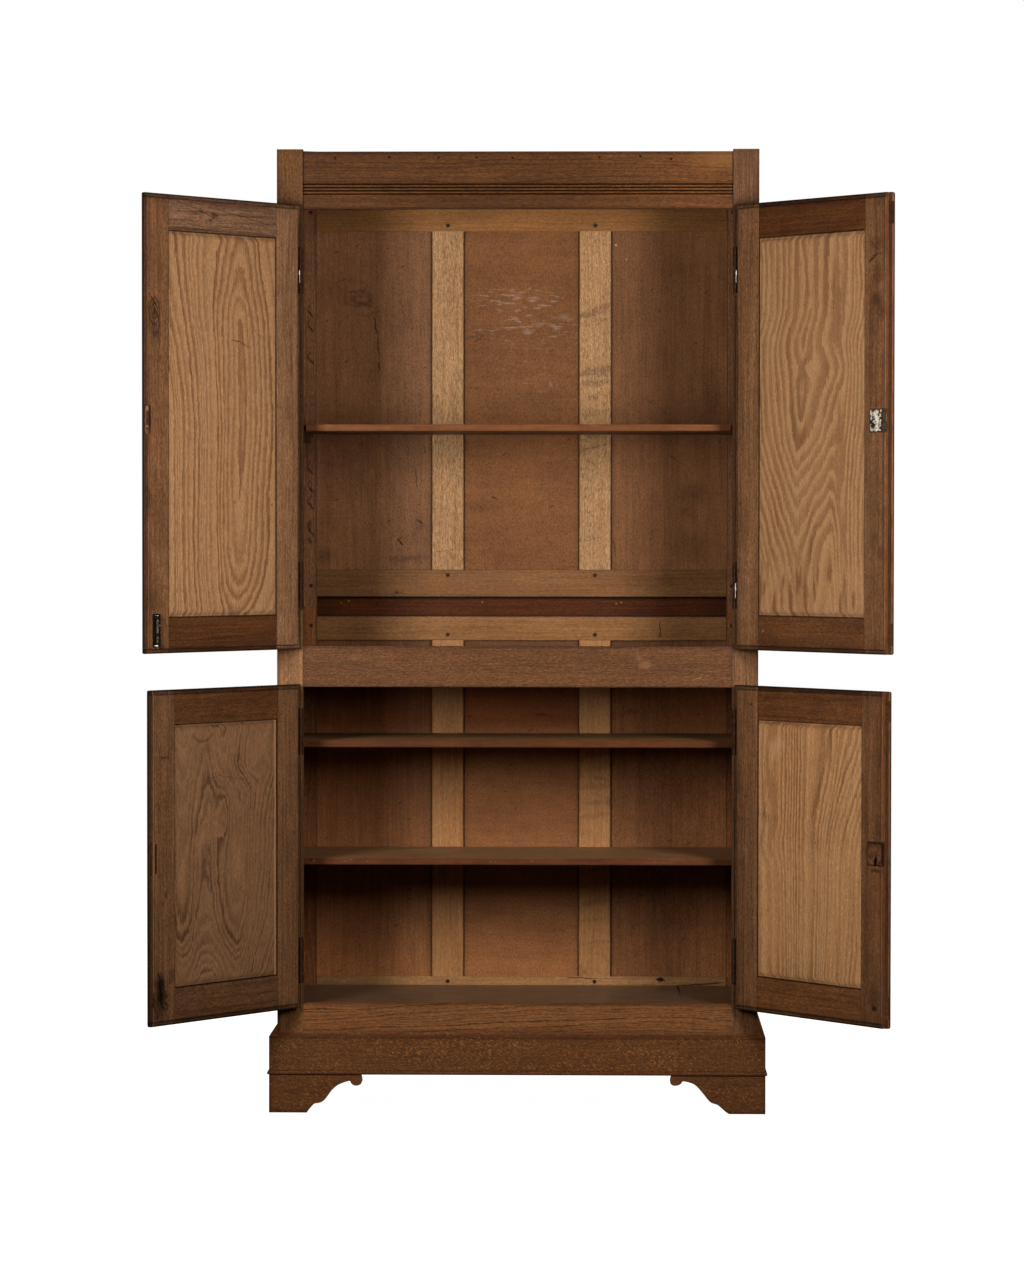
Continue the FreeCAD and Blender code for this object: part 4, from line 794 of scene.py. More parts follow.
        # nested tongues that point down, an arch between them, and an eye higher up
        shift = t.mul(t.smooth(s.z, 695.0, 775.0), t.mul(t.smooth(s.v, 92.0, 165.0), t.smooth(s.v, 310.0, 228.0)))
        v2 = t.mad(shift, -50.0, t.mad(s.n(150.0, 60.0, 11.0), 5.0, s.v))
        r = t.curve(v2, [(78, 128), (128, 82), (166, 42), (184, 12), (205, 0), (235, 10), (274, 38), (299, 50), (330, 40), (376, 8), (402, 24)])
        r = t.add(r, t.curve(s.z, [(303, 70), (340, 52), (422, 14), (470, 3), (620, -8), (720, -20), (856, -52)]))
        r = t.mad(s.hump(667.0, 246.0, 46.0, 15.0), 34.0, r)
        r = t.mad(s.hump(752.0, 120.0, 26.0, 30.0), -22.0, r)
        r = t.mad(s.n(60.0, 26.0, 17.0, 3.0), 4.0, r)
        late = s.bands(r, 11.5, (0.26, 30.0, 3.0), (0.20, 0.80, 0.95), 0.75, 0.6, 0.6)
        late = t.mul(late, t.mad(t.smooth(s.n(150.0, 70.0, 37.0), -0.5, 0.7), 0.6, 0.62))
    look = PANEL_LOOK[door]
    s.base(look[0], look[1], late)
    s.mottle(260.0, 60.0, 0.05)
    s.mottle(90.0, 3.4, 0.09, 3.0, 33.0)
    s.mottle(36.0, 7.0, 0.035, 3.0, 66.0)
    s.hue(300.0, 90.0, 0.03)
    po = s.pores(12.0, 1.5, 0.56, 0.70)
    s.darken(po, 0.20)
    s.grit(0.22, 13.0, 2.2)
    s.mottle(5.0, 1.9, 0.24, 1.0, 577.0)
    s.v = flat
    s.inner = t.smooth(s.y, -1.0, 3.0)
    s.face = s.inner
    # old polish and dirt gathered along the edges
    dx = t.m("MINIMUM", t.sub(s.x, px0), t.sub(px1, s.x))
    nn = t.mul(s.n(26.0, 15.0, 71.0, 3.0), 4.0)
    s.darken(t.smooth(t.add(dz, nn), 17.0, 1.0), 0.26)
    curl = t.smooth(s.n(34.0, 9.0, 83.0, 3.0), -0.2, 0.7)
    s.tint(t.mul(t.mul(t.smooth(t.add(dz, nn), 13.0, 7.0), curl), 0.45 if door != "lower_left" else 0.2), s.tone(112, 66, 40))
    s.darken(t.smooth(t.add(dx, nn), 13.0, 0.0), 0.20 if side < 0 else 0.10)
    s.darken(t.smooth(t.m("ABSOLUTE", t.add(t.sub(dz, 7.0), t.mul(nn, 0.4))), 2.0, 0.6), 0.16)
    s.darken(t.smooth(t.m("MINIMUM", dx, dz), 2.4, 0.9), 0.45 if side < 0 else 0.22)
    s.nicks(46.0, (0.9, 1.4), 0.55, 0.35, 0.0, 0.0)
    p, wv = s.plane(), s.plane(1.2, 12.0)
    if door == "upper_left":
        s.stroke(wv, (215, 1663), (190, 1661), 2.0, 0.75)
        s.stroke(wv, (196, 1663), (158, 1648), 1.4, 0.65)
        s.blob(wv, (206, 1320), (4, 3), 0.6)
        s.blob(wv, (92, 1315), (3, 6), 0.6)
    elif door == "upper_right":
        s.patch(wv, (px0, pz0), (px0 + 3.5, pz1), 1.0, 0.55, (188, 128, 84))
        s.stroke(wv, (150, 1165), (190, 1140), 0.9, 0.3)
    elif door == "lower_right":
        s.stroke(wv, (208, 468), (232, 453), 1.3, 0.5)
        s.blob(p, (262, 602), (3, 3), 0.7)
        s.blob(p, (252, 600), (2, 2), 0.6)
        s.blob(wv, (384, 735), (12, 30), 0.25, 0.2, (186, 146, 100))
        soft = s.plane(10.0, 50.0)
        s.blob(soft, (140, 800), (40, 34), 0.35, 0.1, (172, 138, 104))
        for a, b, w, k in (((310, 852), (292, 770), 11.0, 0.30), ((292, 770), (250, 650), 9.0, 0.28), ((340, 850), (318, 700), 5.0, 0.28), ((318, 700), (296, 600), 5.0, 0.26),
                           ((362, 800), (332, 690), 4.0, 0.24), ((332, 690), (316, 600), 4.0, 0.20), ((396, 812), (360, 700), 4.0, 0.26),
                           ((100, 780), (104, 690), 2.4, 0.35), ((112, 690), (92, 640), 2.4, 0.35), ((96, 560), (100, 420), 4.0, -0.10), ((378, 523), (396, 330), 2.0, 0.22)):
            s.stroke(wv, a, b, w, k)
        s.stroke(wv, (88, 850), (200, 852), 3.0, 0.30)
        s.blob(soft, (110, 645), (44, 20), 0.20, 0.1)
        s.blob(soft, (250, 610), (60, 40), 0.10, 0.1)
    else:
        s.patch(p, (px0 - 2.0, pz0), (px0 + 3.4, pz1), 0.7, 0.92)
        s.patch(wv, (px0 + 5.0, pz0), (px0 + 10.0, pz1), 1.5, 0.7, (156, 112, 78))
        soft = s.plane(12.0, 60.0)
        for c, rr, a in (((331, 680), (34, 44), -0.16), ((324, 600), (34, 60), -0.16), ((378, 550), (16, 70), -0.16), ((206, 560), (36, 96), -0.14),
                         ((320, 790), (60, 50), 0.08), ((250, 720), (60, 50), 0.08), ((230, 400), (90, 40), 0.10), ((300, 340), (60, 40), -0.10)):
            s.blob(soft, c, rr, a, 0.1)
        # two faint rings left by cups, and long scratches
        for cx, cz, rx, rz in ((314, 834, 34, 21), (276, 858, 18, 15)):
            a = t.group(BLOB, P=wv, C=(cx, cz, 0), R=(rx, rz, 1.0), Core=0.86)
            b = t.group(BLOB, P=wv, C=(cx, cz, 0), R=(rx - 5, rz - 5, 1.0), Core=0.80)
            low = t.smooth(s.z, cz + 4, cz - 6)
            s.apply(t.mul(t.m("MAXIMUM", t.sub(a, b), 0.0), low), 0.42, None)
        s.stroke(wv, (306, 737), (262, 742), 1.3, 0.45)
        s.stroke(wv, (262, 742), (184, 731), 1.2, 0.40)
        s.stroke(wv, (248, 784), (190, 782), 1.1, 0.35)
        s.stroke(wv, (308, 800), (284, 795), 1.1, 0.30)
    return s, po


def polished_outside(s, out, light, dark, cals, target):
    """The outer faces of the doors keep their dark polish, like the front of the case."""
    t = s.t
    a, b = srgb(*light), srgb(*dark)
    k = [[target[i] / ((0.6 * a[i] + 0.4 * b[i]) * c[i]) - 1.0 for i in range(3)] for c in cals]
    if len(k) > 1:
        k[0] = [t.mad(s.second, k[1][i] - k[0][i], k[0][i]) for i in range(3)]
    s.colour = t.vm("MULTIPLY", s.colour, t.comb(*[t.mad(out, v, 1.0) for v in k[0]]))


for i, door in enumerate(DOORS):
    side, ang, z0, z1, pz0, pz1, px0, px1 = DOORS[door]
    for part in ("stiles", "rails"):
        s, po = door_frame(door, part, 2.0 + i * 3 + (part == "rails"))
        edge_dirt(s)
        s.face = s.inner
        MARKS[door](s, part)
        s.nicks(40.0, (0.9, 2.4), 0.55, 0.40, 0.6, 0.0)
        t = s.t
        d = t.m("MINIMUM", t.m("MINIMUM", s.x, t.sub(466.0, s.x)), t.m("MINIMUM", t.sub(s.z, z0), t.sub(z1, s.z)))
        out = t.m("MAXIMUM", t.smooth(s.y, -11.5, -12.1), t.mul(t.smooth(s.y, 0.5, -0.5), t.smooth(d, 18.0, 22.0)))
        polished_outside(s, out, *(FRAME_LOOK[door][0:2] if part == "stiles" else FRAME_LOOK[door][2:4]),
                         [CAL["%s_%s" % (door, n)] for n in (("hinge", "meeting") if part == "stiles" else ("bottom", "top"))], (0.104, 0.044, 0.0165))
        dress("%s_door_%s" % (door, part), s.finish(0.52, 0.10, 0.25, 0.12, po))
        soften(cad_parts["%s_door_%s" % (door, part)])
    s, po = door_panel(door, 31.0 + i * 5)
    polished_outside(s, s.t.sub(1.0, s.inner), *PANEL_LOOK[door], [CAL[door + "_panel"]], (0.128, 0.056, 0.021))
    dress("%s_door_panel" % door, s.finish(0.55, 0.08, 0.22, 0.12, po))
    soften(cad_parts["%s_door_panel" % door])


# ---- carcass
def plain(name, node, grain, light, dark, seed, cal="", spacing=8.0, jag=(0.35, 70.0, 4.0), band=(0.2, 0.8, 0.95),
          strength=0.45, fibre=(260.0, 6.0, 0.28), pore=(11.0, 1.5, 0.56, 0.70, 0.32), mott=0.12, cloud=(60.0, 0.06), split=None,
          rough=0.52, width=0.0005, field=None, streak=0.6, vary=0.7, grit=0.38):
    s = Wood(name, case_coords, grain, seed, CAL.get(cal, (1.0, 1.0, 1.0)))
    t = s.t
    if split:
        s.boards(split(s), 263.0)
    r = field(s) if field else t.mad(s.n(420.0, 70.0, 3.0), 12.0, s.v)
    late = s.bands(r, spacing, jag, band, vary, 1.0, streak)
    g = t.mad(s.n(fibre[0], fibre[1], 1.0, 3.0, 0.6), fibre[2], 0.42)
    s.base(light, dark, t.m("MINIMUM", t.m("MAXIMUM", t.mad(late, strength, g), 0.0), 1.0))
    s.mottle(220.0, 45.0, mott)
    s.mottle(30.0, 7.0, mott * 0.6, 3.0, 66.0)
    if cloud:
        s.clouds(*cloud)
    s.hue(260.0, 60.0, 0.04)
    s.grit(grit)
    s.mottle(4.6, 2.6, grit * 0.75, 1.0, 577.0)
    s.po = s.pores(*pore[:4])
    s.darken(s.po, pore[4])
    s.late = late
    s.width = width
    s.node = node
    s.r = rough
    return s


def done(s, spec=0.12, bump=0.25):
    m = s.finish(s.r, 0.10, bump, spec, s.po)
    for n in ([s.node] if isinstance(s.node, str) else s.node):
        dress(n, m)
        soften(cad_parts[n], s.width)


def front_face(s, y=2.0):
    s.face = s.t.smooth(s.y, y + 4.0, y)


# front stiles
for n, light, dark, seed, cal in (
    ("upper_stile_left", (122, 84, 55), (80, 50, 30), 3, "upper_stile_left"),
    ("upper_stile_right", (128, 88, 63), (86, 56, 37), 5, "upper_stile_right"),
    ("lower_stile_left", (140, 98, 65), (94, 62, 39), 7, "lower_stile_left"),
    ("lower_stile_right", (126, 87, 58), (82, 53, 34), 9, "lower_stile_right"),
):
    s = plain("wood_" + n, n, "z", light, dark, seed, cal, 7.0, strength=0.4)
    t = s.t
    front_face(s)
    p, wv = s.plane(), s.plane(0.8, 10.0)
    side = -1 if "left" in n else 1
    # dark line at the joint with the rails, and darker towards the outer edge
    s.patch(wv, (side * 464 - 0.9, 0), (side * 464 + 0.9, 2082), 0.6, 0.45)
    ax = t.m("ABSOLUTE", s.x)
    s.darken(t.mul(t.smooth(t.mad(s.n(60.0, 20.0, 31.0), 3.0, ax), 511.0, 519.0), s.face), 0.35)
    # painted light: above z 935 on the front face the lower stiles keep the lightened tone of their multipliers, where
    # they show between the doors; lower down and off the front face the colour is brought back towards the upper
    # stiles' tone
    if "lower" in n:
        low = t.m("MAXIMUM", t.smooth(s.z, 935.0, 905.0), t.sub(1.0, s.face))
        k = (0.60, 0.54, 0.44) if side < 0 else (0.85, 0.82, 0.85)
        s.colour = t.vm("MULTIPLY", s.colour, t.comb(*[t.mad(low, v - 1.0, 1.0) for v in k]))
    if "upper" in n:
        s.darken(t.smooth(s.z, 2060.0, 2081.0), 0.18)
        s.darken(t.smooth(s.z, 1983.0, 1962.0), 0.25)
    done(s)

# frieze rail: straight grain, lighter towards its right-hand end, a row of nail holes
s = plain("wood_frieze", "frieze_rail", "x", (118, 76, 45), (76, 45, 25), 11, "frieze", 6.0, (0.30, 120.0, 3.0), (0.3, 0.85, 0.96), 0.45,
          (420.0, 3.2, 0.34), (14.0, 1.5, 0.56, 0.70, 0.34), 0.13, grit=0.36)
t = s.t
front_face(s)
s.darken(t.smooth(s.x, 40.0, 430.0), -0.62)
s.tint(t.mul(t.mul(t.smooth(s.x, 330.0, 455.0), t.smooth(s.z, 2020.0, 2070.0)), 0.35), s.tone(190, 140, 96))
p, wv = s.plane(), s.plane(0.6, 8.0)
for x, z in ((-394, 2063), (-277.5, 2065), (-171, 2064), (-89, 2064), (-11, 2063), (176, 2064), (264, 2066), (330, 2060)):
    s.blob(wv, (x, z), (3.8, 3.4), 0.97, 0.5)
# painted shade in the reed grooves, and painted highlights on the crests beside them
for z in (1985.6, 1992.6, 1999.6, 2006.6):
    s.patch(p, (-470, z - 1.5), (470, z + 1.5), 0.5, 0.80)
    s.patch(s.plane(0.5, 20.0), (-470, z + 2.6), (470, z + 4.4), 0.7, -0.22)
s.patch(p, (-470, 2009.6), (470, 2011.4), 0.6, 0.45)
s.patch(wv, (-470, 2070), (470, 2078), 2.0, 0.35)
s.patch(wv, (-470, 1954), (470, 1981), 3.0, 0.12)
s.patch(wv, (-466.5, 1950), (-461.0, 2078), 1.0, 0.75)
s.patch(wv, (461.5, 1950), (466.5, 2078), 1.0, 0.75)
for k, (x, z) in enumerate(((-330, 2031), (-402, 2052), (-235, 2040), (-60, 2050), (84, 2030), (150, 2046), (296, 2052), (392, 2056), (428, 2044), (404, 2034))):
    s.stroke(wv, (x, z), (x + 14 - 5 * (k % 4), z - 9 + 6 * (k % 3)), 1.2, -0.30)
s.patch(wv, (-470, 1953), (470, 1957), 1.2, 0.35)
s.stroke(wv, (-190, 2042), (-150, 2028), 1.6, -0.35)
done(s)

# middle rail: pinkish, short level pores, light scuffs
s = plain("wood_middle_rail", "middle_rail", "x", (122, 80, 53), (90, 56, 35), 13, "middle_rail", 7.0, (0.4, 60.0, 3.0), strength=0.35,
          fibre=(90.0, 3.5, 0.25), pore=(9.0, 1.6, 0.54, 0.68, 0.34), mott=0.09, cloud=(70.0, 0.05), grit=0.42)
t = s.t
front_face(s)
wv = s.plane(2.2, 10.0)
s.blob(wv, (276, 970), (22, 14), 0.5, 0.1, (150, 108, 78))
s.blob(wv, (262, 985), (12, 8), 0.4, 0.1, (150, 108, 78))
s.blob(wv, (-352, 985), (16, 10), 0.35, 0.1, (146, 104, 76))
s.stroke(wv, (380, 936), (398, 945), 2.0, 0.6, (170, 122, 86))
s.patch(wv, (-470, 1005), (470, 1011), 1.6, 0.3)
s.patch(wv, (-470, 921), (470, 925), 1.2, 0.4)
s.darken(t.mul(t.smooth(t.m("ABSOLUTE", s.x), 455.0, 464.0), s.face), 0.25)
done(s)


# bottom rail: bold, flowing lines of dark pores
def flowing(s):
    t = s.t
    r = t.mad(s.n(230.0, 60.0, 3.0), 6.0, s.z)
    r = t.mad(s.x, -0.014, r)
    r = t.mad(s.hump(-300.0, 150.0, 150.0, 60.0), 10.0, r)
    return t.mad(s.hump(150.0, 235.0, 260.0, 40.0), -16.0, r)


s = plain("wood_bottom_rail", "bottom_rail", "x", (124, 80, 47), (84, 50, 27), 15, "bottom_rail", 5.4, (0.16, 50.0, 3.0), (0.30, 0.78, 0.95), 0.25,
          (200.0, 5.0, 0.2), (8.0, 1.4, 0.60, 0.74, 0.2), 0.08, field=flowing, grit=0.3)
t = s.t
front_face(s)
dash = t.smooth(t.noise(s.q(17.0, 2.6, 301.0), 1.0, 2.0, 0.6), 0.38, 0.52)
s.darken(t.mul(s.late, dash), 0.72)
wv = s.plane(0.8, 10.0)
s.patch(wv, (-470, 231), (470, 236), 1.4, 0.3)
s.patch(wv, (-470, 166), (470, 180), 6.0, 0.3)
done(s)

# rear posts, side frames, top
for n, seed, cal in (("upper_rear_post_left", 17, "upper_posts"), ("upper_rear_post_right", 19, "upper_posts"),
                     ("lower_rear_post_left", 21, "lower_posts"), ("lower_rear_post_right", 23, "lower_posts")):
    s = plain("wood_" + n, n, "z", (100, 64, 39), (60, 36, 21), seed, cal, 7.0, strength=0.4, cloud=(34.0, 0.12))
    t = s.t
    wv = s.plane(2.0, 12.0)
    side = -1 if "left" in n else 1
    s.face = t.smooth(s.y, 436.0, 432.0)
    if n == "upper_rear_post_left":
        for z in (1745, 1712, 1640, 1475, 1392, 1350, 1312, 1254):
            s.stroke(wv, (-470, z - 6), (-484, z + 12), 3.4, 0.75)
            s.stroke(wv, (-484, z + 12), (-476, z + 26), 2.4, 0.6)
        s.blob(wv, (-478, 1236), (8, 12), 0.6)
        s.blob(wv, (-480, 1270), (12, 20), 0.4)
    s.patch(s.plane(0.4, 9.0), (side * 464.6 - 0.9, 0), (side * 464.6 + 0.9, 2100), 0.6, 0.55)
    done(s)
for n, seed in (("upper_side_rails", 25), ("lower_side_rails", 27)):
    done(plain("wood_" + n, n, "yx", (108, 70, 43), (70, 43, 25), seed, "side_frames", 7.0))
for n, seed in (("upper_side_panels", 29), ("lower_side_panels", 31)):
    def side_figure(s):
        return s.pith([(200, 200), (2100, 250)], [(200, 60), (600, 12), (900, 30), (1300, 70), (1600, 14), (2100, 66)], (12.0, 260.0, 80.0))

    done(plain("wood_" + n, n, "yz", (110, 73, 46), (72, 45, 27), seed, "side_panels", 15.0, (0.12, 45.0, 6.0), (0.25, 0.78, 0.93), 0.45, field=side_figure,
               fibre=(200.0, 6.0, 0.2)))
done(plain("wood_top", "top_board", "xy", (96, 62, 38), (60, 37, 22), 33, "top", 9.0))

# ---- back
for n, seed, zs, lk in (
    ("upper_back_rails", 35, (1110.0, 1171.0, 1948.0, 1158.5), ((132, 92, 57), (90, 59, 35))),
    ("lower_back_rails", 37, (1011.0, 1065.0, 1024.0, 237.0), ((138, 97, 61), (92, 61, 36))),
):
    s = plain("wood_" + n, n, "x", lk[0], lk[1], seed, "white", 9.0, (0.3, 90.0, 4.0), strength=0.22, fibre=(240.0, 4.5, 0.20),
              pore=(13.0, 1.5, 0.58, 0.72, 0.20), mott=0.12, cloud=(70.0, 0.08), grit=0.24)
    t = s.t
    wv = s.plane(1.2, 12.0)
    ax = t.m("ABSOLUTE", s.x)
    s.scale(CAL[n[:-1] + "_bottom"], CAL[n[:-1] + "_top"], step(t, s.z, 1300.0 if n.startswith("upper") else 600.0))
    # darker towards the ends
    s.darken(t.smooth(t.mad(s.n(90.0, 50.0, 401.0), 30.0, ax), 230.0, 380.0), 0.22)
    for z in zs[:2]:
        s.patch(s.plane(0.4, 9.0), (-464, z - 1.0), (464, z + 1.0), 0.7, 0.5)
    for sx in (-1, 1):
        for z in zs[2:]:
            s.blob(wv, (sx * 166.5, z), (7.5, 7.0), 0.35, 0.5)
        s.patch(s.plane(0.4, 9.0), (sx * 464 - 1.0, 0), (sx * 464 + 1.0, 2100), 0.7, 0.6)
    if n == "upper_back_rails":
        s.blob(wv, (-282, 1120), (7, 3.5), 0.75)
        s.stroke(wv, (-278, 1118), (-268, 1122), 1.4, 0.5)
        s.blob(wv, (330, 1150), (34, 26), 0.20)
        s.blob(wv, (300, 1128), (30, 16), 0.16)
    else:
        s.stroke(wv, (312, 1054), (316, 1016), 2.0, 0.7)
        s.stroke(wv, (316, 1030), (310, 1014), 1.6, 0.6)
        s.blob(wv, (-380, 1040), (60, 20), 0.16)
        s.blob(wv, (316, 242), (11, 7), 0.9, 0.4)
        s.stroke(wv, (306, 244), (328, 240), 2.4, 0.85)
        s.stroke(wv, (100, 247.0), (172, 244.0), 1.8, 0.75)
        s.stroke(wv, (172, 244), (300, 247), 1.0, 0.5)
        s.stroke(wv, (330, 226), (462, 236), 3.0, 0.8)
    done(s)

for n, seed, cal in (("upper_back_muntins", 39, "upper_back_muntins"), ("lower_back_muntins", 41, "lower_back_muntins")):
    s = plain("wood_" + n, n, "z", (184, 142, 99), (140, 99, 63), seed, cal, 10.0, (0.3, 70.0, 4.0), strength=0.25, fibre=(160.0, 3.6, 0.26),
              pore=(16.0, 1.6, 0.52, 0.66, 0.46 if n[0] == "u" else 0.20), mott=0.07, cloud=(90.0, 0.05), grit=0.36 if n[0] == "u" else 0.20, split=lambda s: step(s.t, s.x, 0.0))
    t = s.t
    right = step(t, s.x, 0.0)
    # the right-hand muntin is crossed by darker bars
    bars = t.smooth(t.noise(t.comb(t.mul(s.x, 1 / 60.0), t.mad(s.x, 0.010, t.mul(s.z, 1 / 26.0)), seed), 1.0, 4.0, 0.6), 0.50, 0.66)
    zone = t.smooth(t.noise1(s.z, 1 / 150.0, 1.0), 0.42, 0.62)
    s.darken(t.mul(t.mul(bars, zone), right), 0.34)
    s.darken(t.mad(right, -2.0, 1.0), 0.035)
    # painted shadow along both edges of each muntin
    ax = t.sub(t.m("ABSOLUTE", s.x), MUNTIN_C)
    e = t.m("ABSOLUTE", ax)
    s.darken(t.smooth(t.mad(s.n(50.0, 20.0, 31.0), 0.8, e), 33.0, 36.0), 0.5)
    wv = s.plane(1.5, 10.0)
    if n.startswith("upper"):
        wide = s.plane(3.0, 24.0)
        fleck = t.smooth(s.n(5.0, 10.0, 77.0, 3.0, 0.7), -0.35, 0.5)
        for a, b, w, k in (((132, 1742), (206, 1770), 15.0, 0.30), ((140, 1722), (190, 1738), 9.0, 0.16), ((132, 1612), (206, 1628), 17.0, 0.34), ((132, 1590), (206, 1596), 13.0, 0.26),
                           ((140, 1560), (206, 1566), 12.0, 0.14), ((136, 1520), (200, 1530), 10.0, 0.12)):
            g = t.group(SEG, P=wide, A=(a[0], a[1], 0), B=(b[0], b[1], 0), Width=w)
            s.darken(t.mul(g, t.mad(fleck, 0.6, 0.4)), k * 1.5)
        s.stroke(wv, (140, 1442), (196, 1456), 3.0, 0.40)
        s.stroke(wv, (146, 1420), (176, 1400), 2.0, 0.35)
        s.stroke(wv, (-150, 1216), (-196, 1210), 1.8, 0.35)
        s.stroke(wv, (144, 1236), (182, 1246), 1.8, 0.4)
    else:
        wide = s.plane(3.0, 24.0)
        fleck = t.smooth(s.n(5.0, 10.0, 77.0, 3.0, 0.7), -0.35, 0.5)
        for z, w, k in ((748, 9.0, 0.26), (716, 7.0, 0.20), (676, 11.0, 0.28), (640, 7.0, 0.22), (612, 9.0, 0.24), (486, 9.0, 0.26), (452, 7.0, 0.22), (414, 11.0, 0.26), (374, 7.0, 0.20), (322, 8.0, 0.20)):
            g = t.group(SEG, P=wide, A=(132, z, 0), B=(206, z + 8, 0), Width=w)
            s.darken(t.mul(g, t.mad(fleck, 0.6, 0.4)), k)
    done(s)


def back_panels(n, seed):
    s = Wood("wood_" + n, case_coords, "z", seed)
    t = s.t
    mid = t.m("LESS_THAN", t.m("ABSOLUTE", s.x), 150.0)
    s.boards(step(t, s.x, 150.0), 263.0)
    late = s.bands(t.mad(s.n(300.0, 90.0, 3.0), 26.0, s.v), 12.0, (0.35, 90.0, 6.0), (0.2, 0.8, 0.95), 0.7, 1.0, 0.6)
    g = t.mad(s.n(170.0, 5.0, 1.0, 3.0, 0.6), 0.34, t.mad(s.n(420.0, 24.0, 8.0, 2.0, 0.5), 0.20, 0.42))
    side = t.mix(t.m("MINIMUM", t.m("MAXIMUM", t.mad(late, 0.12, g), 0.0), 1.0), s.tone(110, 75, 50), s.tone(82, 54, 35))
    # the middle panels are a redder wood with the grain running across
    across = t.comb(t.mul(s.x, 1 / 190.0), 3.0, t.mad(s.x, 0.006, t.mul(s.z, 1 / 7.0)))
    h = t.noise(across, 1.0, 4.0, 0.6)
    wide = t.noise(t.comb(t.mul(s.x, 1 / 260.0), 9.0, t.mul(s.z, 1 / 44.0)), 1.0, 2.0, 0.5)
    middle = t.mix(t.smooth(t.mad(wide, 0.5, t.mul(h, 0.5)), 0.30, 0.72), s.tone(126, 83, 53), s.tone(112, 72, 45))
    k = [CAL[n[:-1] + w] for w in ("_left", "_middle", "_right")]
    s.colour = t.mix(mid, side, middle)
    s.scale(k[0], k[2], step(t, s.x, 150.0))
    s.scale((1.0, 1.0, 1.0), [b / a for a, b in zip(k[0], k[1])], mid)
    s.clouds(120.0, 0.15, 0.0, 4.0)
    s.clouds(22.0, 0.08, 300.0, 3.0)
    s.mottle(40.0, 12.0, 0.05, 3.0, 66.0)
    s.grit(0.40, 5.0, 2.4)
    s.po = s.pores(13.0, 1.5, 0.57, 0.72)
    s.darken(t.mul(s.po, t.mad(mid, -0.85, 1.0)), 0.24)
    pm = t.smooth(t.noise(t.comb(t.mul(s.x, 1 / 16.0), 5.0, t.mul(s.z, 1 / 1.3)), 1.0, 2.0, 0.6), 0.58, 0.72)
    s.darken(t.mul(pm, mid), 0.14)
    ax = t.m("ABSOLUTE", s.x)
    s.face = t.smooth(s.y, 448.0, 446.5)
    # the outer face is duller and greyer
    out = t.sub(1.0, s.face)
    s.colour = t.vm("MULTIPLY", s.colour, t.comb(t.mad(out, -0.16, 1.0), t.mad(out, -0.11, 1.0), t.mad(out, -0.04, 1.0)))
    # painted light: the outer parts of the side panels are lightened, more in the lower bays, where the lamps leave
    # them too dark
    low = not n.startswith("upper")
    s.darken(t.mul(t.smooth(s.x, 250.0, 455.0), s.face), -0.50 if low else -0.10)
    s.darken(t.mul(t.smooth(s.x, -330.0, -460.0), s.face), -0.22 if low else -0.06)
    m = t.mul(t.mul(t.smooth(s.x, -420.0, -220.0), step(t, -150.0, s.x)), s.face)
    s.colour = t.vm("MULTIPLY", s.colour, t.comb(t.mad(m, -0.07, 1.0), t.mad(m, 0.01, 1.0), t.mad(m, 0.09, 1.0)))
    # shadowed, dusty edges beside the muntins
    e = t.m("MINIMUM", t.m("ABSOLUTE", t.sub(ax, 130.5)), t.m("ABSOLUTE", t.sub(ax, 202.5)))
    s.darken(t.smooth(e, 3.6, 1.2), 0.5)
    s.darken(t.smooth(e, 16.0, 2.0), 0.14)
    p, wv, rough = s.plane(), s.plane(2.0, 14.0), s.plane(7.0, 22.0)
    s.nicks(52.0, (1.4, 6.0), 0.55, 0.42, 0.5, 0.0)
    s.nicks(37.0, (1.0, 1.6), 0.6, 0.5, 0.0, 0.37)
    if n.startswith("upper"):
        s.darken(t.mul(t.mul(t.mad(t.smooth(s.z, 1440.0, 1540.0), 2.0, -1.0), s.face), t.smooth(s.x, -150.0, -149.0)), 0.04)
        # left panel: a swirling knot, cracks, a cloud, nicks
        s.blob(rough, (-372, 1786), (50, 34), 0.12, 0.1)
        for c, r, w, a in (((-372, 1784), (40, 22), 9.0, 0.20), ((-360, 1780), (22, 14), 7.0, 0.22), ((-384, 1812), (44, 18), 8.0, 0.16), ((-350, 1758), (30, 18), 7.0, 0.18)):
            g1 = t.group(BLOB, P=rough, C=(c[0], c[1], 0), R=(r[0], r[1], 1), Core=0.82)
            g2 = t.group(BLOB, P=rough, C=(c[0], c[1], 0), R=(r[0] - w, r[1] - w, 1), Core=0.75)
            s.apply(t.m("MAXIMUM", t.sub(g1, g2), 0.0), a, None)
        s.stroke(wv, (-334, 1742), (-326, 1700), 2.6, 0.7)
        s.stroke(wv, (-326, 1700), (-323, 1656), 2.2, 0.65)
        s.stroke(wv, (-324, 1640), (-322, 1622), 3.4, 0.75)
        s.blob(rough, (-330, 1600), (34, 90), 0.14, 0.1)
        s.blob(rough, (-395, 1500), (60, 60), 0.12, 0.1)
        s.stroke(wv, (-236, 1284), (-224, 1274), 3.2, 0.75)
        s.stroke(wv, (-282, 1240), (-268, 1226), 3.0, 0.75)
        s.stroke(wv, (-240, 1402), (-236, 1352), 2.0, 0.55)
        s.blob(rough, (-446, 1204), (34, 34), 0.36, 0.1)
        s.blob(rough, (-260, 1196), (70, 12), 0.30, 0.1)
        s.blob(rough, (-390, 1300), (80, 90), -0.10, 0.1)
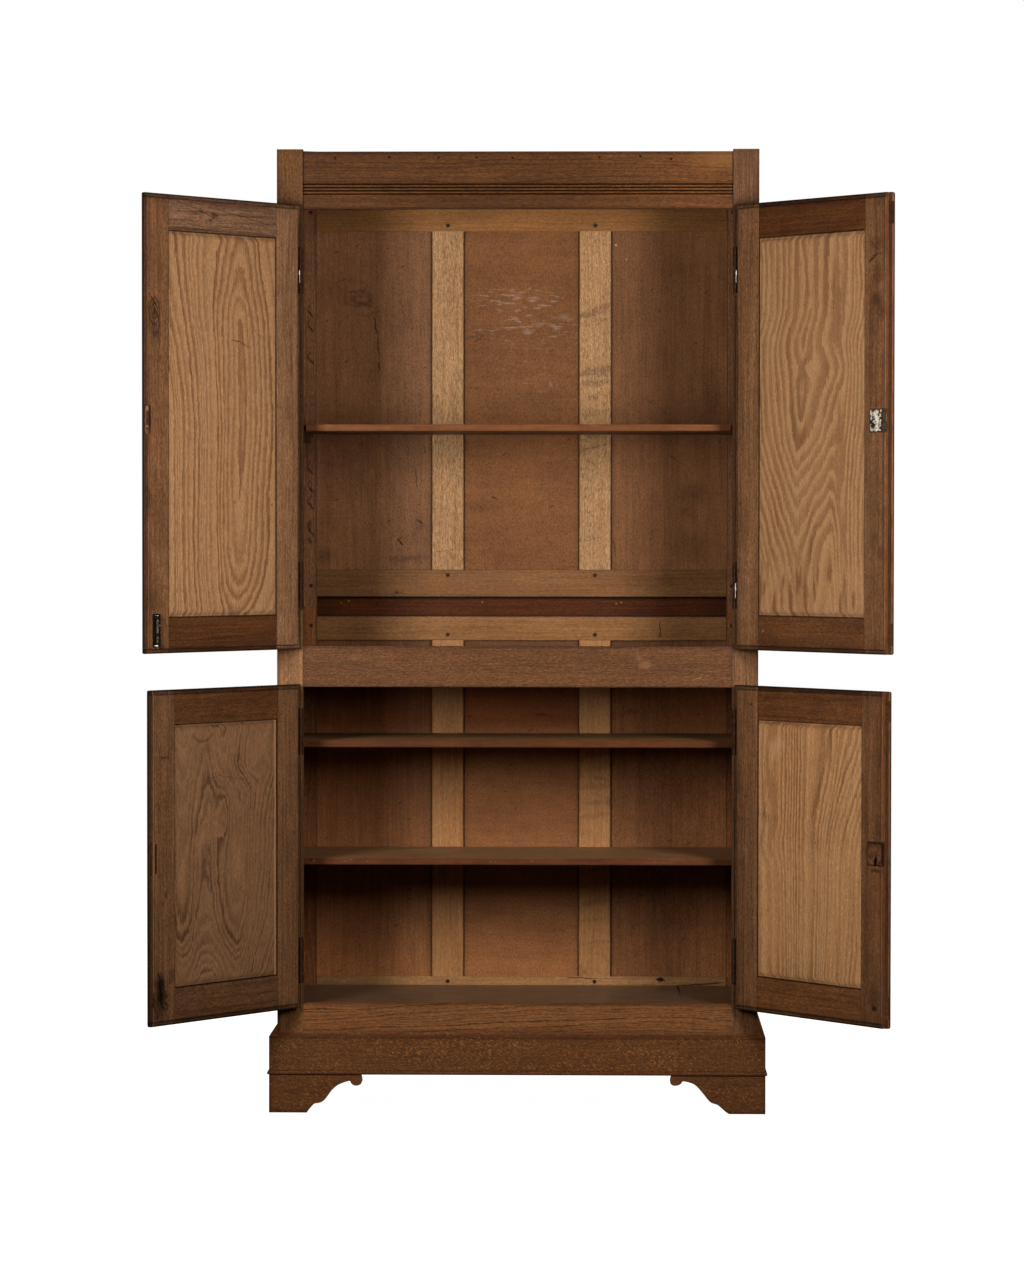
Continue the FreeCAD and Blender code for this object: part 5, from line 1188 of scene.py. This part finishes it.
        # middle panel: pale scuffs and scratches
        fl = t.noise(t.comb(t.mul(s.x, 1 / 30.0), 4.0, t.mul(s.z, 1 / 6.0)), 1.0, 2.5, 0.6)
        area_f = t.m("MAXIMUM", t.group(BLOB, P=rough, C=(0, 1784, 0), R=(170, 46, 1), Core=0.4), t.group(BLOB, P=rough, C=(10, 1716, 0), R=(170, 50, 1), Core=0.4))
        area_f = t.m("MAXIMUM", area_f, t.mul(t.group(BLOB, P=rough, C=(20, 1630, 0), R=(120, 130, 1), Core=0.2), 0.45))
        s.tint(t.mul(t.mul(t.smooth(t.mad(area_f, 0.07, fl), 0.60, 0.70), area_f), t.mul(t.mul(mid, s.face), 0.46)), s.tone(158, 132, 114))
        for c, r, a in (((28, 1782), (26, 8), 0.32), ((-12, 1790), (20, 5), 0.28), ((96, 1742), (24, 10), 0.30), ((44, 1726), (30, 6), 0.26), ((-30, 1716), (18, 5), 0.24), ((66, 1588), (5, 12), 0.4)):
            s.blob(rough, c, r, a, 0.1, (160, 130, 112))
        s.stroke(wv, (-120, 1700), (-88, 1694), 2.0, 0.5)
        s.stroke(wv, (-110, 1682), (-84, 1704), 1.6, 0.5)
        s.stroke(wv, (-116, 1672), (-96, 1660), 1.4, 0.35)
        s.stroke(wv, (-70, 1336), (-56, 1332), 2.6, 0.7)
        s.stroke(wv, (-102, 1318), (-84, 1306), 1.8, 0.5)
        s.blob(rough, (40, 1560), (70, 40), 0.08, 0.1)
        # right panel: dark clouds, pale specks
        s.blob(rough, (390, 1345), (62, 40), 0.30, 0.1)
        s.blob(rough, (372, 1300), (34, 24), 0.24, 0.1)
        s.blob(rough, (430, 1560), (40, 110), 0.24, 0.1)
        s.blob(rough, (330, 1480), (60, 40), 0.18, 0.1)
        s.blob(rough, (380, 1220), (80, 60), 0.22, 0.1)
        s.blob(rough, (360, 1850), (90, 40), 0.16, 0.1)
        s.stroke(wv, (332, 1430), (352, 1416), 2.6, 0.5)
        s.stroke(wv, (262, 1370), (266, 1330), 1.6, 0.4)
        s.stroke(wv, (214, 1200), (208, 1240), 2.4, 0.55)
        s.blob(p, (213, 1904), (3.0, 3.0), 0.7, 0.4, (200, 176, 140))
        s.blob(p, (236, 1872), (2.2, 2.2), 0.5, 0.4, (200, 176, 140))
    else:
        # lit and rubbed lower parts of the bottom panels
        s.darken(t.mul(t.mul(t.smooth(s.z, 420.0, 262.0), s.face), t.mad(step(t, s.x, 150.0), -0.8, 1.0)), -0.32)
        s.darken(t.mul(t.mul(t.smooth(s.z, 520.0, 560.0), t.smooth(s.x, 150.0, 149.0)), s.face), 0.06)
        # painted shade in the top bay: redder and darker, least on the right; darkest of all along its top, under the
        # rail
        red = t.mul(t.mul(t.smooth(s.z, 790.0, 830.0), t.smooth(s.z, 996.0, 988.0)), s.face)
        far = step(t, s.x, 150.0)
        s.colour = t.vm("MULTIPLY", s.colour, t.comb(*[t.mad(red, t.mad(far, b - a, t.mad(mid, c - a, a)), 1.0)
                                                      for a, b, c in ((-0.19, 0.04, -0.27), (-0.36, -0.08, -0.46), (-0.55, -0.24, -0.64))]))
        s.darken(t.mul(t.smooth(s.z, 990.0, 998.0), s.face), 0.42)
        s.blob(rough, (-250, 330), (50, 60), -0.18, 0.1)
        s.stroke(wv, (-262, 402), (-222, 300), 2.0, -0.14)
        s.stroke(wv, (-276, 380), (-236, 280), 2.0, -0.14)
        s.blob(wv, (-254, 446), (4, 4), 0.6)
        s.stroke(wv, (300, 700), (330, 684), 1.6, 0.4)
        s.stroke(wv, (30, 844), (60, 842), 2.2, 0.6)
        s.blob(rough, (250, 850), (22, 12), 0.35, 0.1)
    s.node, s.r, s.width = n, 0.56, 0.0004
    done(s, 0.10)


back_panels("upper_back_panels", 43)
back_panels("lower_back_panels", 45)

s = plain("wood_joint", "joint_board", "x", (88, 47, 26), (52, 25, 13), 47, "joint_board", 9.0, (0.3, 90.0, 4.0), strength=0.4, fibre=(300.0, 5.0, 0.25))
t = s.t
wv = s.plane(0.8, 9.0)
for x in (-409, -392, -89, 215, 226):
    s.blob(wv, (x, 1099 - (x % 7)), (3.0, 2.4), 0.6, 0.3, (176, 140, 116))
# painted shade on the inner face: darker towards the ends, and dark bands along the top and the bottom where the rails
# shade it
inside = t.smooth(s.y, 471.5, 470.5)
s.darken(t.mul(inside, t.smooth(t.m("ABSOLUTE", s.x), 380.0, 450.0)), 0.35)
s.darken(t.mul(inside, t.smooth(s.z, 1098.0, 1108.0)), 0.60)
s.darken(t.mul(inside, t.smooth(s.z, 1071.0, 1066.0)), 0.50)
done(s)

# ---- shelves: reddish front edges, duller grey-brown tops; edge and top have multipliers of their own, which also paint in light the lamps don't give the tops
for n, seed, y0, zt, front, top in (
    ("upper_shelf", 49, 75.0, 1491.0, (132, 84, 54), (104, 74, 50)),
    ("middle_shelf", 51, 92.0, 801.0, (112, 67, 43), (104, 74, 48)),
    ("bottom_shelf", 53, 105.0, 543.0, (112, 67, 43), (110, 78, 52)),
    ("dust_board", 55, 26.0, 985.0, (110, 70, 46), (100, 70, 48)),
):
    fcal, tcal = CAL[n + "_edge"], CAL[n + "_top"]
    s = Wood("wood_" + n, case_coords, "xy", seed, fcal)
    t = s.t
    edge = t.smooth(s.y, y0 + 3.0, y0 + 1.0)
    g = t.mad(s.n(260.0, 5.0, 1.0, 3.0, 0.6), 0.28, 0.42)
    late = s.bands(t.mad(s.n(420.0, 70.0, 3.0), 16.0, s.v), 12.0, (0.3, 80.0, 5.0), (0.25, 0.8, 0.94), 0.6, 1.0, 0.6)
    f = t.m("MINIMUM", t.m("MAXIMUM", t.mad(late, 0.35, g), 0.0), 1.0)
    a = t.mix(f, s.tone(*front), s.tone(front[0] * 0.76, front[1] * 0.72, front[2] * 0.70))
    s.cal = tcal
    b = t.mix(f, s.tone(*top), s.tone(top[0] * 0.80, top[1] * 0.80, top[2] * 0.80))
    s.colour = t.mix(edge, b, a)
    s.mottle(240.0, 50.0, 0.09)
    s.mottle(70.0, 12.0, 0.07, 3.0, 66.0)
    s.clouds(60.0, 0.06)
    s.grit(0.20, 30.0, 3.0)
    # broad soft streaks: partly figure, partly painted reflection
    for a, b, k, ex in ((34.0, 120.0, 0.10, 3.0), (150.0, 70.0, 0.12, 9.0), (9.0, 200.0, 0.06, 15.0)):
        s.colour = t.shade(s.colour, t.mad(t.mad(t.noise(t.comb(t.mul(s.x, 1 / a), t.mul(s.y, 1 / b), ex), 1.0, 2.0, 0.6), 4.0, -2.0), k, 1.0))
    s.po = s.pores(13.0, 4.0, 0.56, 0.70)
    s.darken(s.po, 0.22)
    s.cal = fcal
    s.face = edge
    wv = s.plane(0.5, 8.0)
    s.patch(wv, (-500, zt - 15.5), (500, zt - 12.6), 0.9, 0.40)
    s.patch(wv, (-500, zt - 1.8), (500, zt + 0.5), 0.7, -0.22)
    if n == "bottom_shelf":
        s.blob(wv, (-453, zt + 3 - 7), (5, 4), 0.7, 0.3)
        s.blob(wv, (-448, zt - 6), (2.4, 2.4), 0.6, 0.3, (200, 160, 130))
        for x in (-380, -366, -330, -60, -50, 30, 300):
            s.blob(wv, (x, zt - 7 + (x % 5)), (2.0, 1.6), 0.5, 0.3, (190, 146, 112))
    if n == "middle_shelf":
        s.blob(wv, (-452, zt - 7), (4, 3), 0.6, 0.3)
    s.node, s.r, s.width = n, 0.5, 0.0005
    done(s, 0.16)

done(plain("wood_cleats", "shelf_cleats", "yx", (100, 64, 42), (72, 44, 28), 57, "cleats", 7.0))

s = plain("wood_floor", "floor_board", "xy", (100, 71, 49), (68, 46, 31), 59, "floor", 14.0, (0.2, 60.0, 6.0), (0.25, 0.8, 0.94), 0.35, (260.0, 6.0, 0.22), rough=0.36,
          cloud=(90.0, 0.12), mott=0.12, grit=0.22)
t = s.t
# broad soft streaks: partly figure, partly painted reflection
for a, b, k, ex in ((38.0, 120.0, 0.11, 3.0), (170.0, 70.0, 0.13, 9.0), (10.0, 200.0, 0.07, 15.0)):
    s.colour = t.shade(s.colour, t.mad(t.mad(t.noise(t.comb(t.mul(s.x, 1 / a), t.mul(s.y, 1 / b), ex), 1.0, 2.0, 0.6), 4.0, -2.0), k, 1.0))
# painted shade along the front of the floor, behind the bottom rail
s.darken(t.smooth(s.y, 60.0, 20.0), 0.35)
done(s, 0.22)

done(plain("wood_pegs", "pegs_and_dowels", "yx", (70, 46, 29), (46, 28, 17), 61, "pegs", 5.0))


# ---- plinth: quartered oak with ray flecks
def plinth(name, nodes, grain, seed, light, dark, cal, fleck=0.5):
    s = plain(name, nodes, grain, light, dark, seed, cal, 5.0, (0.4, 60.0, 3.0), strength=0.30, fibre=(120.0, 3.0, 0.26), pore=(12.0, 1.4, 0.56, 0.70, 0.32),
              mott=0.09, cloud=(60.0, 0.06))
    t = s.t
    n = s.n(80.0, 34.0, 300.0)
    for ang, ex, k in ((math.radians(-38), 0.0, 1.0), (math.radians(34), 40.0, 0.6)):
        ca, sa = math.cos(ang), math.sin(ang)
        a = t.mad(s.u, ca, t.mul(s.v, sa))
        b = t.mad(n, 5.0, t.mad(s.u, -sa, t.mul(s.v, ca)))
        f = t.noise(t.comb(t.mul(a, 1 / 9.0), t.mul(b, 1 / 1.7), t.mad(s.w, 0.2, ex)), 1.0, 2.0, 0.5)
        drift = t.smooth(s.n(130.0, 40.0, 340.0 + ex), -0.5, 0.8, 0.25, 1.0)
        s.tint(t.mul(t.mul(t.smooth(f, 0.61, 0.66), drift), min(fleck * k * 2.2, 1.0)), s.tone(158, 108, 64))
    return s


s = plinth("plinth_wood", "plinth_front", "x", 71, (98, 61, 35), (66, 39, 21), "plinth")
front_face(s, -14.0)
wv = s.plane(1.0, 9.0)
s.blob(wv, (-392, 150), (3, 3), 0.75)
s.blob(wv, (350, 152), (3, 3), 0.75)
s.patch(wv, (-540, 160), (540, 166), 1.4, 0.35)
s.patch(wv, (-540, 90), (540, 93), 1.0, 0.35)
done(s)
done(plinth("plinth_side_wood", "plinth_returns", "yx", 73, (94, 58, 33), (62, 37, 20), "plinth_returns"))
done(plinth("moulding_wood", "plinth_mouldings", "x", 75, (88, 52, 28), (52, 29, 15), "mouldings", 0.2))
s = plinth("foot_wood", "bracket_feet", "x", 77, (90, 54, 30), (58, 34, 18), "feet", 0.22)
t = s.t
wv = s.plane(1.6, 10.0)
ax = t.m("ABSOLUTE", s.x)
s.darken(t.smooth(t.mad(s.n(60.0, 20.0, 31.0), 4.0, s.z), 12.0, 2.0), 0.4)
s.darken(t.smooth(t.mad(s.n(60.0, 20.0, 41.0), 3.0, ax), 528.0, 537.0), 0.35)
# reddish, rubbed scrolls and edges
s.tint(t.mul(t.smooth(ax, 372.0, 340.0), 0.2), s.tone(110, 62, 36))
s.stroke(wv, (-510, 48), (-478, 40), 2.0, 0.4)
done(s)


# --------------------------------------------------------------- metal
class Metal(Wood):
    """Old iron or brass: patches of two tones and fine pitting. Bright spots, such as the painted highlight on the
    hinge barrels, are added to each part.
    """

    def __init__(self, name, coords, base, dark, scale=6.0, lo=0.40, hi=0.65):
        Wood.__init__(self, name, coords, "z", 0.0)
        t = self.t
        self.pt = t.comb(self.x, self.y, self.z)
        n = t.noise(t.vm("SCALE", self.pt, scale=1.0 / scale), 1.0, 5.0, 0.65)
        self.fine = t.noise(t.vm("SCALE", self.pt, scale=4.5 / scale), 1.0, 3.0, 0.6)
        self.f = t.smooth(t.mad(self.fine, 0.25, t.mul(n, 0.8)), lo, hi)
        self.colour = t.mix(self.f, srgb(*base), srgb(*dark))

    def end(self, rough, metallic, spec=0.3):
        t = self.t
        b = t.new("ShaderNodeBsdfPrincipled")
        out = t.new("ShaderNodeOutputMaterial")
        t.put(self.colour, b.inputs["Base Color"])
        t.put(t.mad(self.f, 0.2, rough), b.inputs["Roughness"])
        t.put(t.mad(self.f, -0.6 * metallic, metallic), b.inputs["Metallic"])
        b.inputs["Specular IOR Level"].default_value = spec
        bm = t.new("ShaderNodeBump")
        bm.inputs["Strength"].default_value = 0.35
        bm.inputs["Distance"].default_value = 0.0003
        t.put(self.fine, bm.inputs["Height"])
        t.put(bm.outputs["Normal"], b.inputs["Normal"])
        t.t.links.new(b.outputs[0], out.inputs["Surface"])
        return self.mat


# hinges: brown-black iron, with a painted highlight on the barrels at the heights where it shows, and a dark line of
# painted shade down them
s = Metal("hinge_iron_painted_glint", case_coords, (76, 48, 31), (44, 28, 18), 9.0)
t = s.t
dx = t.sub(t.m("ABSOLUTE", s.x), PIN_X)
dy = t.sub(s.y, PIN_Y)
# painted shade: a dark line down each hinge near its pin, for the shaded slit beside the barrel
line = t.smooth(t.m("ABSOLUTE", t.add(dx, 0.9)), 2.2, 1.3)
s.darken(line, 0.85)
# painted highlight: a bright glint on the barrels within these bands of height
barrel = t.mul(t.smooth(t.m("SQRT", t.mad(dx, dx, t.mul(dy, dy))), 7.0, 6.0), t.smooth(t.m("ABSOLUTE", t.add(dx, 0.9)), 1.6, 0.9))
glint_band = t.m("MAXIMUM", t.mul(t.smooth(s.z, 1792.0, 1795.0), t.smooth(s.z, 1822.0, 1819.0)),
           t.mul(t.mul(t.smooth(s.z, 1114.0, 1117.0), t.smooth(s.z, 1148.0, 1145.0)), step(t, s.x, 0.0)))
s.tint(t.mul(t.mul(barrel, glint_band), t.smooth(s.fine, 0.30, 0.5, 0.6, 1.0)), srgb(250, 240, 226))
iron = s.end(0.6, 0.0, 0.06)
for n in ["carcass_hinge_leaves", "hinge_pins"] + [d + "_door_hinges" for d in DOORS]:
    dress(n, iron)

# barrel bolt: black plate, bright screw heads (lighter metal with a painted highlight), grey rod with a painted
# highlight along it
s = Metal("bolt_plate", lambda t: door_coords(t, "upper_left"), (22, 16, 12), (8, 6, 5), 6.0)
t = s.t
p = s.plane(0.8, 4.0)
for x, z, r, k in ((436.0, 1083.0, 1.5, 0.9), (447.0, 1083.5, 1.4, 0.8), (433.5, 1021.0, 1.5, 0.8), (447.5, 1020.5, 1.9, 1.0)):
    s.tint(t.mul(t.group(BLOB, P=p, C=(x, z, 0), R=(r, r, 1), Core=0.3), k), srgb(222, 210, 192))
dress("barrel_bolt_case", s.end(0.6, 0.0, 0.05))
s = Metal("bolt_rod_iron", lambda t: door_coords(t, "upper_left"), (84, 72, 61), (28, 21, 16), 5.0)
# painted highlight: the rod is darkened except along a narrow band
s.darken(s.t.smooth(s.t.m("ABSOLUTE", s.t.sub(s.x, 445.0)), 1.4, 3.0), 0.80)
dress("barrel_bolt_rod", s.end(0.5, 0.0, 0.08))

# upper lock: pale worn tin with black pits round its rim, a brass strip on the edge side
s = Metal("pitted_plate", lambda t: door_coords(t, "upper_right"), (232, 222, 204), (172, 156, 132), 12.0, 0.40, 0.62)
t = s.t
streak = t.noise(t.comb(t.mul(s.x, 1 / 7.0), t.mul(s.z, 1 / 12.0), 3.0), 1.0, 4.0, 0.7, 1.2)
s.darken(t.smooth(streak, 0.48, 0.60), 0.55)
rim = t.m("MINIMUM", t.m("MINIMUM", t.sub(s.x, 420.5), t.sub(456.0, s.x)), t.m("MINIMUM", t.sub(s.z, 1466.0), t.sub(1513.0, s.z)))
pits = t.noise(t.vm("SCALE", s.pt, scale=1 / 5.6), 1.0, 2.0, 0.5)
s.darken(t.smooth(t.mad(pits, 14.0, t.mul(rim, -0.85)), 4.4, 5.2), 0.95)
low = t.m("MAXIMUM", t.group(BLOB, P=s.plane(1.5, 9.0), C=(430, 1484, 0), R=(11, 16, 1), Core=0.5),
          t.group(BLOB, P=s.plane(1.5, 9.0), C=(449, 1502, 0), R=(6, 14, 1), Core=0.4))
s.darken(t.mul(t.smooth(pits, 0.44, 0.48), low), 0.97)
s.darken(t.mul(t.smooth(pits, 0.60, 0.63), 1.0), 0.8)
bevel = t.smooth(s.x, 455.0, 457.0)
s.tint(bevel, srgb(70, 50, 31))
s.darken(t.smooth(t.m("ABSOLUTE", t.sub(s.x, 456.0)), 2.0, 0.7), 0.7)
s.darken(t.mul(bevel, t.smooth(pits, 0.46, 0.58)), 0.6)
dress("upper_lock_case", s.end(0.5, 0.2, 0.25))

s = Metal("rusty_plate", lambda t: door_coords(t, "lower_right"), (104, 66, 42), (66, 40, 25), 9.0)
t = s.t
p = s.plane()
for x, z in ((425.5, 606.0), (461.0, 606.0), (425.5, 571.0), (461.0, 571.0)):
    s.tint(t.mul(t.group(BLOB, P=p, C=(x, z, 0), R=(2.6, 2.6, 1), Core=0.4), 0.8), srgb(22, 14, 10))
s.darken(t.smooth(t.m("MINIMUM", t.m("MINIMUM", t.sub(612.0, s.z), t.sub(s.z, 565.0)), t.m("MINIMUM", t.sub(s.x, 420.5), t.sub(466.5, s.x))), 3.4, 1.6), 0.72)
# the keyhole is painted black: painted shade of the hole
s.darken(t.group(SEG, P=s.plane(1.2, 6.0), A=(449, 584, 0), B=(445, 564, 0), Width=6.5), 0.99)
s.darken(t.group(SEG, P=s.plane(1.2, 6.0), A=(449, 582, 0), B=(445, 566, 0), Width=5.0), 0.97)
s.darken(t.group(SEG, P=s.plane(1.2, 6.0), A=(452, 568, 0), B=(440, 566, 0), Width=2.0), 0.8)
rust = s.end(0.65, 0.0, 0.06)
dress("lower_lock_case", rust)
dress("lower_lock_bolt", rust)

s = Metal("aged_brass", case_coords, (150, 118, 62), (84, 60, 30), 6.0)
brass = s.end(0.42, 0.85, 0.5)
for n in ("upper_lock_bolt", "upper_escutcheon", "lower_escutcheon"):
    dress(n, brass)


# --------------------------------------------------------------- stage
def simple(name, colour, rough):
    m = bpy.data.materials.new(name)
    m.use_nodes = True
    b = m.node_tree.nodes["Principled BSDF"]
    b.inputs["Base Color"].default_value = colour
    b.inputs["Roughness"].default_value = rough
    return m


bpy.ops.mesh.primitive_plane_add(size=60.0, location=(0, 0, -0.0006))
floor = bpy.context.object
floor.name = "floor"
fm = simple("pale_floor", (0.16, 0.16, 0.16, 1.0), 0.9)
fb = fm.node_tree.nodes["Principled BSDF"]
fb.inputs["Specular IOR Level"].default_value = 0.0
fb.inputs["Emission Color"].default_value = (1.0, 1.0, 1.0, 1.0)
fb.inputs["Emission Strength"].default_value = 0.995
floor.data.materials.append(fm)
floor.visible_diffuse = False
floor.visible_glossy = False

world = bpy.data.worlds.new("studio")
bpy.context.scene.world = world
world.use_nodes = True
wt = T(world.node_tree)
world.node_tree.nodes.clear()
lp = wt.new("ShaderNodeLightPath")
bg = wt.new("ShaderNodeBackground")
bg.inputs["Color"].default_value = (1.0, 1.0, 1.0, 1.0)
wt.put(wt.mad(lp.outputs["Is Camera Ray"], 0.988, 0.012), bg.inputs["Strength"])
wo = wt.new("ShaderNodeOutputWorld")
world.node_tree.links.new(bg.outputs[0], wo.inputs["Surface"])


def area(name, loc, target, sx, sy, power, gloss=True):
    l = bpy.data.lights.new(name, "AREA")
    l.shape = "RECTANGLE"
    l.size, l.size_y = sx, sy
    l.energy = power
    o = bpy.data.objects.new(name, l)
    bpy.context.scene.collection.objects.link(o)
    o.location = loc
    o.rotation_euler = (Vector(target) - Vector(loc)).to_track_quat("-Z", "Y").to_euler()
    o.visible_glossy = gloss
    return o


# two upright soft boxes, a little higher than the middle of the press
area("soft_left", (-1.28, -1.885, 1.50), (0.0, 0.0, 1.30), 0.5, 1.1, 46.0)
area("soft_right", (1.28, -1.885, 1.61), (0.0, 0.0, 1.35), 0.5, 1.1, 46.0)

# the same soft light for the sides, the back and the top, from behind the front of the press
area("soft_back_left", (-2.5, 3.0, 2.3), (-0.3, 0.3, 1.0), 1.8, 2.2, 125.0, False)
area("soft_back_right", (2.5, 3.0, 2.3), (0.3, 0.3, 1.0), 1.8, 2.2, 125.0, False)
area("soft_top", (0.0, 0.9, 4.4), (0.0, 0.3, 2.08), 1.6, 1.2, 45.0, False)

# --------------------------------------------------------------- camera
cam = bpy.data.cameras.new("camera")
cam.sensor_width = 36.0
cam.lens = 4260.4 * 36.0 / 1261.0
cam.clip_end = 200.0
cam_o = bpy.data.objects.new("camera", cam)
bpy.context.scene.collection.objects.link(cam_o)
rot = Matrix.Rotation(0.0211, 4, "Z") @ Matrix.Rotation(math.pi / 2 - 0.0253, 4, "X") @ Matrix.Rotation(0.0008, 4, "Z")
cam_o.matrix_world = Matrix.Translation((0.1824, (-9199.8 + FRONT_Y) / 1000.0, 1.2772)) @ rot
bpy.context.scene.camera = cam_o
bpy.context.scene.view_settings.view_transform = "Standard"
